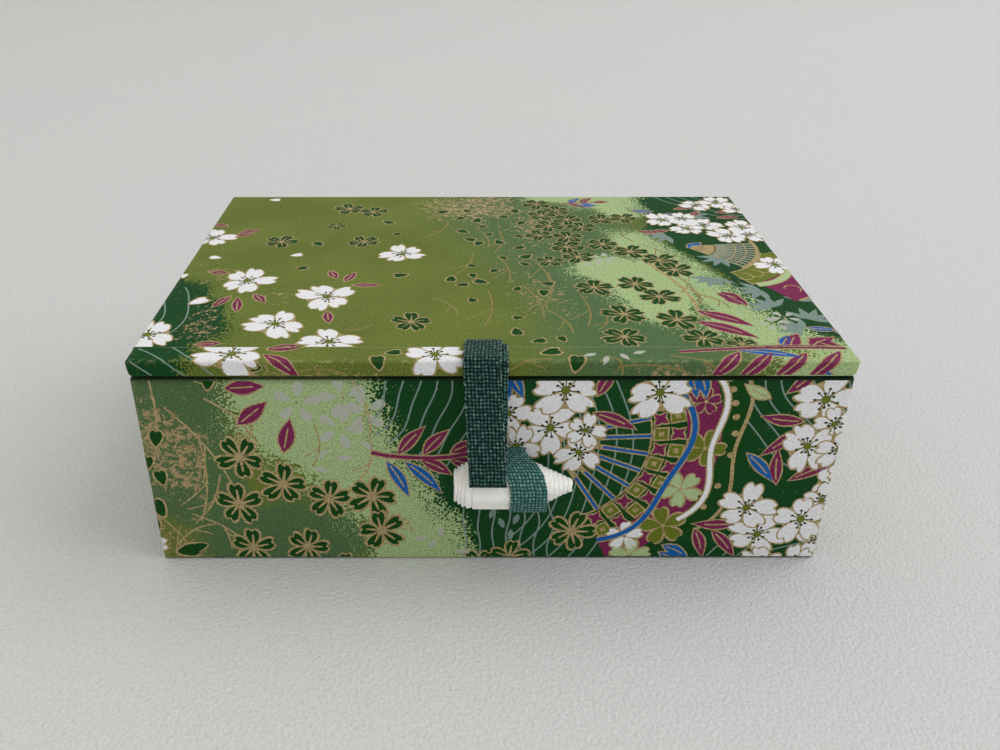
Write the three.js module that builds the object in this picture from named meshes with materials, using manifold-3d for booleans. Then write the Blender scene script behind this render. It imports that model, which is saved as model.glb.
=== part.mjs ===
// A greyboard box covered in printed paper, with a hinged lid, a cloth strap and a rolled-paper toggle.
// Millimetres. +Z is up, -Y is the front, +X is to the right of someone who faces the front.
// The origin is the centre of the tray's underside.

import * as THREE from 'three';
import { mergeVertices } from 'three/addons/utils/BufferGeometryUtils.js';
import Module from 'manifold-3d';

const wasm = await Module();
wasm.setup();

// ---- Driving dimensions ------------------------------------------------------------------------

// Outside of the box
const TRAY_WIDTH = 139.4;
const TRAY_DEPTH = 96.9;
const TRAY_HEIGHT = 44.5;
const LID_SIDE_OVERHANG = 0.3;
const LID_FRONT_OVERHANG = 0.6;
const RIM_GAP = 0.3;

// Sheets
const WALL_BOARD = 2.0;
const BASE_BOARD = 2.0;
const LID_BOARD = 3.0;
const PAPER = 0.18;
const HINGE_CLOTH = 0.35;
const GLUE = 0.03;

// How far the papers turn over and stop short
const RIM_TURN_IN = 10;
const BASE_TURN_UNDER = 12;
const BOTTOM_PAPER_INSET = 2;
const WALL_LINING_DROP = 1.5;
const LID_TURN_IN = 12;
const LID_LINING_INSET = 2;
const LID_SEAM_SETBACK = 5.8;

// Hinge
const HINGE_WALL_LEAF_HEIGHT = 12;
const HINGE_LID_LEAF_RETURN = 8;
const HINGE_SIDE_INSET = 0.5;

// Strap: a strip folded into a loop, with both ends down one slit in the lid
const STRAP_WIDTH = 7.4;
const STRAP_PLY = 0.45;
const STRAP_PLY_GAP = 0.3;
const STRAP_SLIT_SETBACK = 7;
const STRAP_TAIL = 12;
const STRAP_HANG = 24.7;
const STRAP_X = -0.8;
const STRAP_FRONT_PLY_SHIFT = -1.3;
const STRAP_BACK_PLY_SHIFT = 0.3;
const STRAP_PIVOT_REACH = 0.55;
const STRAP_TOP_CLEARANCE = 0.8;
const STRAP_CLEARANCE = 0.3;

// Toggle: a bead of rolled paper, thickest in the middle
const BEAD_RADIUS = 4.8;
const BEAD_Z = 23.35;
const BEAD_WALL_CLEARANCE = 0.75;
const BEAD_BODY_START = -4.6;
const BEAD_BODY_LENGTH = 14.4;
const BEAD_BLUNT_LENGTH = 2.8;
const BEAD_BLUNT_RADIUS = 3.2;
const BEAD_BLUNT_STEPS = 3;
const BEAD_POINT_LENGTH = 6.1;
const BEAD_POINT_ROOT_RADIUS = 3.7;
const BEAD_POINT_TIP_RADIUS = 1.5;
const BEAD_POINT_STEPS = 6;
const BEAD_SIDES = 40;

// Keeper: a band of cloth round the bead, with both ends through the front wall
const KEEPER_WIDTH = 7.4;
const KEEPER_PLY = 0.5;
const KEEPER_BEAD_CLEARANCE = 0.12;
const KEEPER_TOP_X = 2.9;
const KEEPER_FRONT_X = 7.05;
const KEEPER_UPPER_TAIL = 5.2;
const KEEPER_LOWER_TAIL = 7.6;
const KEEPER_ARC_STEPS = 24;

// Room for cloth in a slit or a recess
const SLIT_CLEARANCE = 0.2;
const RECESS_CLEARANCE = 0.05;

// ---- Derived places ----------------------------------------------------------------------------

const LAYER = PAPER + GLUE;
const OVERCUT = 1;

const trayX = TRAY_WIDTH / 2;
const trayY = TRAY_DEPTH / 2;
const lidX = trayX + LID_SIDE_OVERHANG;
const lidFrontY = -(trayY + LID_FRONT_OVERHANG);

// Tray levels and insets, counted from the outside of the wrap
const boardBottomZ = 2 * LAYER;
const boardTopZ = TRAY_HEIGHT - LAYER;
const boardInset = LAYER;
const innerInset = boardInset + WALL_BOARD;
const turnInInset = innerInset + LAYER;
const liningInset = turnInInset + LAYER;
const floorZ = boardBottomZ + BASE_BOARD;
const floorLiningZ = floorZ + GLUE;

// Lid levels
const lidUndersideZ = TRAY_HEIGHT + RIM_GAP;
const lidTurnInZ = lidUndersideZ + LAYER;
const lidBoardZ = lidTurnInZ + LAYER;
const lidBoardTopZ = lidBoardZ + LID_BOARD;
const lidTopZ = lidBoardTopZ + LAYER;
const hingeOuterY = trayY + GLUE + HINGE_CLOTH;
const seamY = lidFrontY + LID_SEAM_SETBACK;

// Strap places
const strapThickness = 2 * STRAP_PLY + STRAP_PLY_GAP;
const strapSlitY = lidFrontY + STRAP_SLIT_SETBACK;
const strapBottomZ = lidTopZ + GLUE;
const strapRootX = STRAP_X + (STRAP_FRONT_PLY_SHIFT + STRAP_BACK_PLY_SHIFT) / 2;
const strapPivotY = lidFrontY - STRAP_PIVOT_REACH;
const strapPivotZ = strapBottomZ + strapThickness / 2;

// Bead and keeper places
const beadY = -(trayY + BEAD_WALL_CLEARANCE + BEAD_RADIUS);
const keeperRadius = BEAD_RADIUS + KEEPER_BEAD_CLEARANCE + KEEPER_PLY / 2;
const keeperTailY = -(trayY - innerInset) - RECESS_CLEARANCE - KEEPER_PLY / 2;
const keeperTopZ = BEAD_Z + keeperRadius;
const keeperBottomZ = BEAD_Z - keeperRadius;

// ---- Materials ---------------------------------------------------------------------------------

const greyboard = { color: 0x9b948a, roughness: 0.95, metalness: 0 };
const printedPaper = { color: 0x6f7f3b, roughness: 0.72, metalness: 0 };
const plainPaper = { color: 0xe4dfd2, roughness: 0.9, metalness: 0 };
const bookcloth = { color: 0x23544c, roughness: 0.85, metalness: 0 };
const rolledPaper = { color: 0xe9e6df, roughness: 0.8, metalness: 0 };

// ---- Geometry helpers --------------------------------------------------------------------------

// A box between two corners.
function block(low, high) {
  const size = high.map((value, axis) => value - low[axis]);
  const geometry = new THREE.BoxGeometry(...size);
  const centre = high.map((value, axis) => (value + low[axis]) / 2);
  geometry.translate(...centre);
  return geometry;
}

// A box that is centred on X and Y, between two levels.
function centredBlock(halfX, halfY, bottomZ, topZ) {
  return block([-halfX, -halfY, bottomZ], [halfX, halfY, topZ]);
}

function toSolid(geometry) {
  const bare = geometry.clone();
  bare.deleteAttribute('normal');
  bare.deleteAttribute('uv');
  const merged = mergeVertices(bare, 1e-5);
  return new wasm.Manifold(
    new wasm.Mesh({
      numProp: 3,
      vertProperties: new Float32Array(merged.attributes.position.array),
      triVerts: new Uint32Array(merged.index.array),
    }),
  );
}

function toGeometry(solid) {
  const mesh = solid.getMesh();
  const geometry = new THREE.BufferGeometry();
  geometry.setAttribute('position', new THREE.BufferAttribute(mesh.vertProperties, 3));
  geometry.setIndex(new THREE.BufferAttribute(mesh.triVerts, 1));
  geometry.computeVertexNormals();
  return geometry;
}

// The first geometry less all the others.
function carve(geometry, ...cutters) {
  let solid = toSolid(geometry);
  for (const cutter of cutters) {
    solid = solid.subtract(toSolid(cutter));
  }
  return toGeometry(solid);
}

// All the geometries as one.
function join(...geometries) {
  let solid = toSolid(geometries[0]);
  for (const geometry of geometries.slice(1)) {
    solid = solid.add(toSolid(geometry));
  }
  return toGeometry(solid);
}

// The offset that turns a corner of a path, from the two unit directions that meet there.
function mitre(before, after) {
  const first = new THREE.Vector2(-before.y, before.x);
  const second = new THREE.Vector2(-after.y, after.x);
  return first.clone().add(second).divideScalar(1 + first.dot(second));
}

// A flat band of cloth. Its centreline runs through points { x, y, z } and bends in the YZ plane only;
// x is where the middle of the band's width lies at that point.
function band(points, width, thickness) {
  const directions = points.slice(1).map((point, index) => {
    const from = points[index];
    return new THREE.Vector2(point.y - from.y, point.z - from.z).normalize();
  });
  const positions = [];
  points.forEach((point, index) => {
    const before = directions[Math.max(index - 1, 0)];
    const after = directions[Math.min(index, directions.length - 1)];
    const offset = mitre(before, after).multiplyScalar(thickness / 2);
    for (const [side, face] of [[-1, -1], [1, -1], [1, 1], [-1, 1]]) {
      positions.push(point.x + (side * width) / 2);
      positions.push(point.y + face * offset.x);
      positions.push(point.z + face * offset.y);
    }
  });
  const triangles = [];
  const last = 4 * (points.length - 1);
  for (let start = 0; start < last; start += 4) {
    for (let corner = 0; corner < 4; corner += 1) {
      const a = start + corner;
      const b = start + ((corner + 1) % 4);
      triangles.push(a, b + 4, b, a, a + 4, b + 4);
    }
  }
  triangles.push(0, 1, 2, 0, 2, 3);
  triangles.push(last, last + 2, last + 1, last, last + 3, last + 2);
  const geometry = new THREE.BufferGeometry();
  geometry.setAttribute('position', new THREE.Float32BufferAttribute(positions, 3));
  geometry.setIndex(triangles);
  geometry.computeVertexNormals();
  return geometry;
}

// A named mesh with a material of its own.
function piece(name, geometry, material) {
  const mesh = new THREE.Mesh(geometry, new THREE.MeshStandardMaterial(material));
  mesh.name = name;
  return mesh;
}

// ---- Tray boards -------------------------------------------------------------------------------

function makeBaseBoard() {
  const inset = innerInset + GLUE;
  return centredBlock(trayX - inset, trayY - inset, boardBottomZ, floorZ);
}

function frontOrBackBoard(side) {
  const outer = side * (trayY - boardInset);
  const inner = side * (trayY - innerInset);
  const halfX = trayX - boardInset;
  return block(
    [-halfX, Math.min(outer, inner), boardBottomZ],
    [halfX, Math.max(outer, inner), boardTopZ],
  );
}

function sideBoard(side) {
  const outer = side * (trayX - boardInset);
  const inner = side * (trayX - innerInset);
  const halfY = trayY - innerInset - GLUE;
  return block(
    [Math.min(outer, inner), -halfY, boardBottomZ],
    [Math.max(outer, inner), halfY, boardTopZ],
  );
}

// The slot that one end of the keeper goes through, from in front of the wrap to inside the wall.
function keeperSlit(centreX, centreZ) {
  const halfX = KEEPER_WIDTH / 2 + SLIT_CLEARANCE;
  const halfZ = KEEPER_PLY / 2 + SLIT_CLEARANCE;
  return block(
    [centreX - halfX, -(trayY + OVERCUT), centreZ - halfZ],
    [centreX + halfX, -(trayY - innerInset - OVERCUT), centreZ + halfZ],
  );
}

// The shallow recess inside the front wall that a tail of the keeper is glued in.
function keeperRecess(centreX, bottomZ, topZ) {
  const halfX = KEEPER_WIDTH / 2 + SLIT_CLEARANCE;
  const depth = KEEPER_PLY + 2 * RECESS_CLEARANCE;
  const wallY = -(trayY - innerInset);
  return block([centreX - halfX, wallY - depth, bottomZ], [centreX + halfX, wallY + OVERCUT, topZ]);
}

function keeperSlits() {
  return [keeperSlit(KEEPER_TOP_X, keeperTopZ), keeperSlit(KEEPER_FRONT_X, keeperBottomZ)];
}

function makeFrontBoard() {
  const room = KEEPER_PLY / 2 + SLIT_CLEARANCE;
  const upperEnd = keeperTopZ + KEEPER_UPPER_TAIL + SLIT_CLEARANCE;
  const lowerEnd = keeperBottomZ - KEEPER_LOWER_TAIL - SLIT_CLEARANCE;
  return carve(
    frontOrBackBoard(-1),
    ...keeperSlits(),
    keeperRecess(KEEPER_TOP_X, keeperTopZ - room, upperEnd),
    keeperRecess(KEEPER_FRONT_X, lowerEnd, keeperBottomZ + room),
  );
}

// ---- Tray papers -------------------------------------------------------------------------------

// A ring between two insets from the outside of the tray.
function trayRing(outerInset, ringInset, bottomZ, topZ) {
  return carve(
    centredBlock(trayX - outerInset, trayY - outerInset, bottomZ, topZ),
    centredBlock(trayX - ringInset, trayY - ringInset, bottomZ - OVERCUT, topZ + OVERCUT),
  );
}

function makeWrap() {
  const turnedInset = turnInInset - GLUE;
  const underside = LAYER;
  const turnInStart = innerInset + GLUE;
  return carve(
    join(
      trayRing(0, PAPER, underside, TRAY_HEIGHT),
      trayRing(0, turnInStart + PAPER, TRAY_HEIGHT - PAPER, TRAY_HEIGHT),
      trayRing(turnInStart, turnedInset + GLUE, TRAY_HEIGHT - RIM_TURN_IN, TRAY_HEIGHT),
      trayRing(0, BASE_TURN_UNDER, underside, underside + PAPER),
    ),
    ...keeperSlits(),
  );
}

function makeBottomPaper() {
  return centredBlock(trayX - BOTTOM_PAPER_INSET, trayY - BOTTOM_PAPER_INSET, 0, PAPER);
}

function makeWallLining() {
  const bottomZ = floorLiningZ + LAYER;
  return trayRing(turnInInset + GLUE, liningInset, bottomZ, TRAY_HEIGHT - WALL_LINING_DROP);
}

function makeFloorLining() {
  const inset = innerInset + GLUE;
  return centredBlock(trayX - inset, trayY - inset, floorLiningZ, floorLiningZ + PAPER);
}

// ---- Hinge -------------------------------------------------------------------------------------

const hingeX = trayX - HINGE_SIDE_INSET;

function makeHingeWallLeaf() {
  return block(
    [-hingeX, trayY + GLUE, TRAY_HEIGHT - HINGE_WALL_LEAF_HEIGHT],
    [hingeX, hingeOuterY, TRAY_HEIGHT],
  );
}

// Up the rear edge of the lid, then forward on the board under the cover.
function makeHingeLidLeaf() {
  const topZ = lidBoardTopZ;
  return join(
    block([-hingeX, trayY + GLUE, lidBoardZ], [hingeX, hingeOuterY, topZ]),
    block([-hingeX, trayY - HINGE_LID_LEAF_RETURN, topZ - HINGE_CLOTH], [hingeX, hingeOuterY, topZ]),
  );
}

// ---- Lid ---------------------------------------------------------------------------------------

// The slot that the strap comes up through.
function strapSlit() {
  const halfX = STRAP_WIDTH / 2 + SLIT_CLEARANCE;
  const halfY = strapThickness / 2 + SLIT_CLEARANCE;
  return block(
    [strapRootX - halfX, strapSlitY - halfY, lidBoardZ - OVERCUT],
    [strapRootX + halfX, strapSlitY + halfY, lidTopZ + OVERCUT],
  );
}

// The recess under the lid that the strap's tail is glued in.
function strapTailRecess() {
  const halfX = STRAP_WIDTH / 2 + SLIT_CLEARANCE;
  return block(
    [strapRootX - halfX, strapSlitY, lidBoardZ - OVERCUT],
    [strapRootX + halfX, strapSlitY + STRAP_TAIL + SLIT_CLEARANCE, strapTailTopZ + RECESS_CLEARANCE],
  );
}

const strapTailBottomZ = lidBoardZ + RECESS_CLEARANCE;
const strapTailTopZ = strapTailBottomZ + strapThickness;

// The rebate that lets the hinge cloth lie flush under the cover.
function hingeRebate() {
  const rearY = trayY - HINGE_LID_LEAF_RETURN - GLUE;
  return block(
    [-(lidX + OVERCUT), rearY, lidBoardTopZ - HINGE_CLOTH - GLUE],
    [lidX + OVERCUT, trayY + OVERCUT, lidBoardTopZ + OVERCUT],
  );
}

function makeLidBoard() {
  const halfX = lidX - LAYER;
  return carve(
    block([-halfX, lidFrontY + LAYER, lidBoardZ], [halfX, trayY, lidBoardTopZ]),
    hingeRebate(),
    strapSlit(),
    strapTailRecess(),
  );
}

// The hollow that the lid's papers leave for the board, from one Y to another.
function lidCore(fromY, toY) {
  const halfX = lidX - PAPER;
  return block([-halfX, fromY, lidTurnInZ + PAPER], [halfX, toY, lidTopZ - PAPER]);
}

function makeLidCover() {
  const frontY = seamY + GLUE;
  const halfGap = lidX - LID_TURN_IN;
  return carve(
    block([-lidX, frontY, lidTurnInZ], [lidX, hingeOuterY, lidTopZ]),
    lidCore(frontY - OVERCUT, hingeOuterY + OVERCUT),
    block(
      [-halfGap, frontY - OVERCUT, lidTurnInZ - OVERCUT],
      [halfGap, hingeOuterY + OVERCUT, lidTurnInZ + PAPER + GLUE],
    ),
    strapSlit(),
  );
}

function makeLidFrontStrip() {
  return carve(
    block([-lidX, lidFrontY, lidTurnInZ], [lidX, seamY, lidTopZ]),
    lidCore(lidFrontY + PAPER, seamY + OVERCUT),
  );
}

function makeLidLining() {
  const halfX = lidX - LID_LINING_INSET;
  return block(
    [-halfX, lidFrontY + LID_LINING_INSET, lidUndersideZ],
    [halfX, trayY - LID_LINING_INSET, lidUndersideZ + PAPER],
  );
}

// ---- Strap -------------------------------------------------------------------------------------

// Both plies: the tail under the board, the rise through the slit and the run to the front edge.
function makeStrapRoot() {
  const halfX = STRAP_WIDTH / 2;
  const halfY = strapThickness / 2;
  const left = strapRootX - halfX;
  const right = strapRootX + halfX;
  return join(
    block([left, strapSlitY - halfY, strapTailBottomZ], [right, strapSlitY + STRAP_TAIL, strapTailTopZ]),
    block([left, strapSlitY - halfY, strapTailBottomZ], [right, strapSlitY + halfY, strapBottomZ + strapThickness]),
    block([left, lidFrontY, strapBottomZ], [right, strapSlitY + halfY, strapBottomZ + strapThickness]),
  );
}

// How far from straight down the strap hangs, so that it lies just clear of the keeper.
function strapLean() {
  const toBeadY = strapPivotY - beadY;
  const toBeadZ = strapPivotZ - BEAD_Z;
  const clear = keeperRadius + KEEPER_PLY / 2 + STRAP_CLEARANCE + strapThickness / 2;
  return Math.atan2(toBeadY, toBeadZ) + Math.asin(clear / Math.hypot(toBeadY, toBeadZ));
}

// The front ply, the fold at the bottom and the back ply, as one band.
function makeStrapLoop() {
  const lean = strapLean();
  const foldRadius = (STRAP_PLY_GAP + STRAP_PLY) / 2;
  const foldCentre = STRAP_HANG - foldRadius - STRAP_PLY / 2;
  const at = (along, out, shift) => ({
    x: STRAP_X + shift,
    y: strapPivotY - along * Math.sin(lean) - out * Math.cos(lean),
    z: strapPivotZ - along * Math.cos(lean) + out * Math.sin(lean),
  });
  const points = [at(STRAP_TOP_CLEARANCE, foldRadius, STRAP_FRONT_PLY_SHIFT)];
  const foldSteps = 10;
  for (let step = 0; step <= foldSteps; step += 1) {
    const angle = (Math.PI * step) / foldSteps;
    points.push(at(foldCentre + foldRadius * Math.sin(angle), foldRadius * Math.cos(angle), 0));
  }
  points.push(at(STRAP_TOP_CLEARANCE, -foldRadius, STRAP_BACK_PLY_SHIFT));
  return band(points, STRAP_WIDTH, STRAP_PLY);
}

// ---- Toggle ------------------------------------------------------------------------------------

// Rolled strips of narrowing width leave a step at each turn: every step has a flat rim and a face.
function steps(fromX, toX, fromRadius, toRadius, count) {
  const points = [];
  for (let step = 0; step < count; step += 1) {
    const radius = fromRadius + ((toRadius - fromRadius) * step) / (count - 1);
    points.push([fromX + ((toX - fromX) * step) / count, radius]);
    points.push([fromX + ((toX - fromX) * (step + 1)) / count, radius]);
  }
  return points;
}

function makeBead() {
  const bluntX = BEAD_BODY_START - BEAD_BLUNT_LENGTH;
  const pointX = BEAD_BODY_START + BEAD_BODY_LENGTH;
  const tipX = pointX + BEAD_POINT_LENGTH;
  const lastBluntRadius = BEAD_RADIUS - (BEAD_RADIUS - BEAD_BLUNT_RADIUS) / BEAD_BLUNT_STEPS;
  const profile = [
    [bluntX, 0],
    ...steps(bluntX, BEAD_BODY_START, BEAD_BLUNT_RADIUS, lastBluntRadius, BEAD_BLUNT_STEPS),
    [BEAD_BODY_START, BEAD_RADIUS],
    [pointX, BEAD_RADIUS],
    ...steps(pointX, tipX, BEAD_POINT_ROOT_RADIUS, BEAD_POINT_TIP_RADIUS, BEAD_POINT_STEPS),
    [tipX, 0],
  ];
  const outline = profile.map(([x, radius]) => new THREE.Vector2(radius, x));
  const geometry = new THREE.LatheGeometry(outline, BEAD_SIDES);
  // The lathe turns about Y, and the bead lies along X
  geometry.rotateZ(-Math.PI / 2);
  geometry.translate(0, beadY, BEAD_Z);
  return geometry;
}

// Up the inside of the wall, out over the bead, round its front, back in below it and down.
function makeKeeper() {
  const points = [
    { x: KEEPER_TOP_X, y: keeperTailY, z: keeperTopZ + KEEPER_UPPER_TAIL },
    { x: KEEPER_TOP_X, y: keeperTailY, z: keeperTopZ },
    { x: KEEPER_TOP_X, y: -trayY, z: keeperTopZ },
  ];
  for (let step = 0; step <= KEEPER_ARC_STEPS; step += 1) {
    const turn = step / KEEPER_ARC_STEPS;
    const angle = Math.PI * turn;
    const shift = THREE.MathUtils.smoothstep(turn, -0.25, 0.5);
    points.push({
      x: THREE.MathUtils.lerp(KEEPER_TOP_X, KEEPER_FRONT_X, shift),
      y: beadY - keeperRadius * Math.sin(angle),
      z: BEAD_Z + keeperRadius * Math.cos(angle),
    });
  }
  points.push({ x: KEEPER_FRONT_X, y: -trayY, z: keeperBottomZ });
  points.push({ x: KEEPER_FRONT_X, y: keeperTailY, z: keeperBottomZ });
  points.push({ x: KEEPER_FRONT_X, y: keeperTailY, z: keeperBottomZ - KEEPER_LOWER_TAIL });
  return band(points, KEEPER_WIDTH, KEEPER_PLY);
}

// ---- The box -----------------------------------------------------------------------------------

function makeTray() {
  const tray = new THREE.Group();
  tray.add(piece('base_board', makeBaseBoard(), greyboard));
  tray.add(piece('front_wall_board', makeFrontBoard(), greyboard));
  tray.add(piece('back_wall_board', frontOrBackBoard(1), greyboard));
  tray.add(piece('left_wall_board', sideBoard(-1), greyboard));
  tray.add(piece('right_wall_board', sideBoard(1), greyboard));
  tray.add(piece('tray_wrap_paper', makeWrap(), printedPaper));
  tray.add(piece('tray_bottom_paper', makeBottomPaper(), plainPaper));
  tray.add(piece('wall_lining_paper', makeWallLining(), plainPaper));
  tray.add(piece('floor_lining_paper', makeFloorLining(), plainPaper));
  tray.add(piece('hinge_wall_leaf', makeHingeWallLeaf(), bookcloth));
  tray.add(piece('toggle_keeper', makeKeeper(), bookcloth));
  return tray;
}

function makeLid() {
  const lid = new THREE.Group();
  lid.add(piece('lid_board', makeLidBoard(), greyboard));
  lid.add(piece('lid_cover_paper', makeLidCover(), printedPaper));
  lid.add(piece('lid_front_strip_paper', makeLidFrontStrip(), printedPaper));
  lid.add(piece('lid_lining_paper', makeLidLining(), plainPaper));
  lid.add(piece('hinge_lid_leaf', makeHingeLidLeaf(), bookcloth));
  lid.add(piece('strap_root', makeStrapRoot(), bookcloth));
  return lid;
}

const box = new THREE.Group();
box.add(makeTray());
box.add(makeLid());
box.add(piece('strap_loop', makeStrapLoop(), bookcloth));
box.add(piece('toggle_bead', makeBead(), rolledPaper));

export default box;
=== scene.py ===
"""A greyboard box covered in printed paper, with a cloth-hinged lid, a cloth strap and a rolled-paper toggle.

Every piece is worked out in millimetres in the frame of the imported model: +Z up, -Y the front, +X to the
right, with the origin at the centre of the tray's underside. A mesh is scaled to metres as it is made.
"""

import logging
import math
from collections.abc import Callable, Iterable
from dataclasses import dataclass, field
from enum import Enum

import bpy
import numpy as np
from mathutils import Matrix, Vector


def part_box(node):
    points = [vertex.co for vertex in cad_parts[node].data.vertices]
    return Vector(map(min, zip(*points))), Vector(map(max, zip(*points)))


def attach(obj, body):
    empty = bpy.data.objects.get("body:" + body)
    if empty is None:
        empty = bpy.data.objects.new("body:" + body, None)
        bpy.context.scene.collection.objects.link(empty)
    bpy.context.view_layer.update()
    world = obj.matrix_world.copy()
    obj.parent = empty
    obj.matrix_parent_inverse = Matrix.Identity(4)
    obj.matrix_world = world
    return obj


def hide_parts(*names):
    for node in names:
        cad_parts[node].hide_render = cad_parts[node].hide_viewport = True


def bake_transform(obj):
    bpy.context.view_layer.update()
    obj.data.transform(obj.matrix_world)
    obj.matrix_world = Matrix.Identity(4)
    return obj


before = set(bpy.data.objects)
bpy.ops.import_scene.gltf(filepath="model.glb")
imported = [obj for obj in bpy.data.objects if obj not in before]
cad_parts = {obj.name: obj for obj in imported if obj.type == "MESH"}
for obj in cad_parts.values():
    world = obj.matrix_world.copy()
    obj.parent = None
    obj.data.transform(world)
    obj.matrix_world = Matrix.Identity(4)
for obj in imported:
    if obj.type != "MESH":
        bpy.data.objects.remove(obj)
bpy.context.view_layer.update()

LOG = logging.getLogger("paper_box")
Material, Piece, Socket = bpy.types.Material, bpy.types.Object, bpy.types.NodeSocket
Add = Callable[..., Socket]
Array, Point = np.ndarray, tuple[float, float]

# Metres in a millimetre, and the paper's thickness in millimetres.
MM = 0.001
PAPER = 0.18

# What the nodes used most are set to: a clamped range with soft ends, a mix of colours, and two sums.
SOFT = {"interpolation_type": "SMOOTHSTEP"}
COLOUR = {"data_type": "RGBA"}
TIMES = {"operation": "MULTIPLY"}
TIMES_PLUS = {"operation": "MULTIPLY_ADD"}


# ---- Small helpers -----------------------------------------------------------------------------


def box_mm(node: str) -> tuple[Array, Array]:
    """The lowest and highest corner of a CAD node, in millimetres.

    Args:
        node: the CAD node's name.

    Returns:
        The two corners as arrays.
    """
    low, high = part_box(node)
    return np.array(low) / MM, np.array(high) / MM


def linear(hex_colour: str) -> tuple[float, float, float, float]:
    """Turns an sRGB hex colour into linear light.

    Args:
        hex_colour: a colour such as "#6f7f3b".

    Returns:
        Red, green, blue and an alpha of one.
    """
    values = [int(hex_colour[i : i + 2], 16) / 255 for i in (1, 3, 5)]
    light = [v / 12.92 if v <= 0.04045 else ((v + 0.055) / 1.055) ** 2.4 for v in values]
    return (*light, 1.0)


# ---- Finishes ----------------------------------------------------------------------------------


class Surface:
    """A new material with its Principled shader, and the one function that adds a node to it."""

    def __init__(self, name: str) -> None:
        """Starts the material.

        Args:
            name: the material's name.
        """
        self.material = bpy.data.materials.new(name)
        self.material.use_nodes = True
        self.tree = self.material.node_tree

    def plug(self, socket: Socket, value: object) -> None:
        """Gives an input a link from an output, or a value.

        Args:
            socket: the input.
            value: an output to link from, or a value.
        """
        if isinstance(value, Socket):
            self.tree.links.new(value, socket)
        else:
            socket.default_value = value

    def add(self, kind: str, *values, out: str | None = None, **named) -> Socket:
        """Adds one shader node.

        Args:
            kind: the node's type, without "ShaderNode".
            *values: values or output sockets for the inputs in use, in their order.
            out: the name of the output to return, or None for the first one in use.
            **named: the node's own properties, in small letters, and values or sockets for inputs by name.

        Returns:
            One output of the node.
        """
        node = self.tree.nodes.new("ShaderNode" + kind)
        for name, value in named.items():
            if name.islower():
                setattr(node, name, value)
            else:
                self.plug(node.inputs[name], value)
        for socket, value in zip([socket for socket in node.inputs if socket.enabled], values):
            self.plug(socket, value)
        return node.outputs[out] if out else next(socket for socket in node.outputs if socket.enabled)

    def millimetres(self, uv: bool = False) -> Socket:
        """Coordinates in millimetres.

        Args:
            uv: whether they come from the piece's own UV map, which already holds them, or from the object.

        Returns:
            The coordinates.
        """
        if uv:
            return self.add("UVMap", uv_map="sheet_mm")
        place = self.add("TexCoord", out="Object")
        return self.add("VectorMath", place, 1 / MM, operation="SCALE")

    def finish(self, **inputs) -> Material:
        """Finishes the material.

        Args:
            **inputs: the shader's inputs by name, with an underscore for a space.

        Returns:
            The material.
        """
        shader = self.tree.nodes["Principled BSDF"]
        for name, value in inputs.items():
            self.plug(shader.inputs[name.replace("_", " ")], value)
        return self.material


@dataclass(frozen=True)
class PaperTones:
    """The ground colours of the screen-printed paper, from the first ink to the last."""

    olive: str = "#6a7732"
    olive_deep: str = "#626f2c"
    grey_green: str = "#4f6b43"
    lime: str = "#a2b882"
    forest: str = "#0b4219"
    tan: str = "#a8926a"
    rubbed: str = "#b9bd8c"
    # Near black: the painted shade along the tray's rim, under the lid's edge.
    painted_rim_shade: str = "#0c120a"


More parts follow.
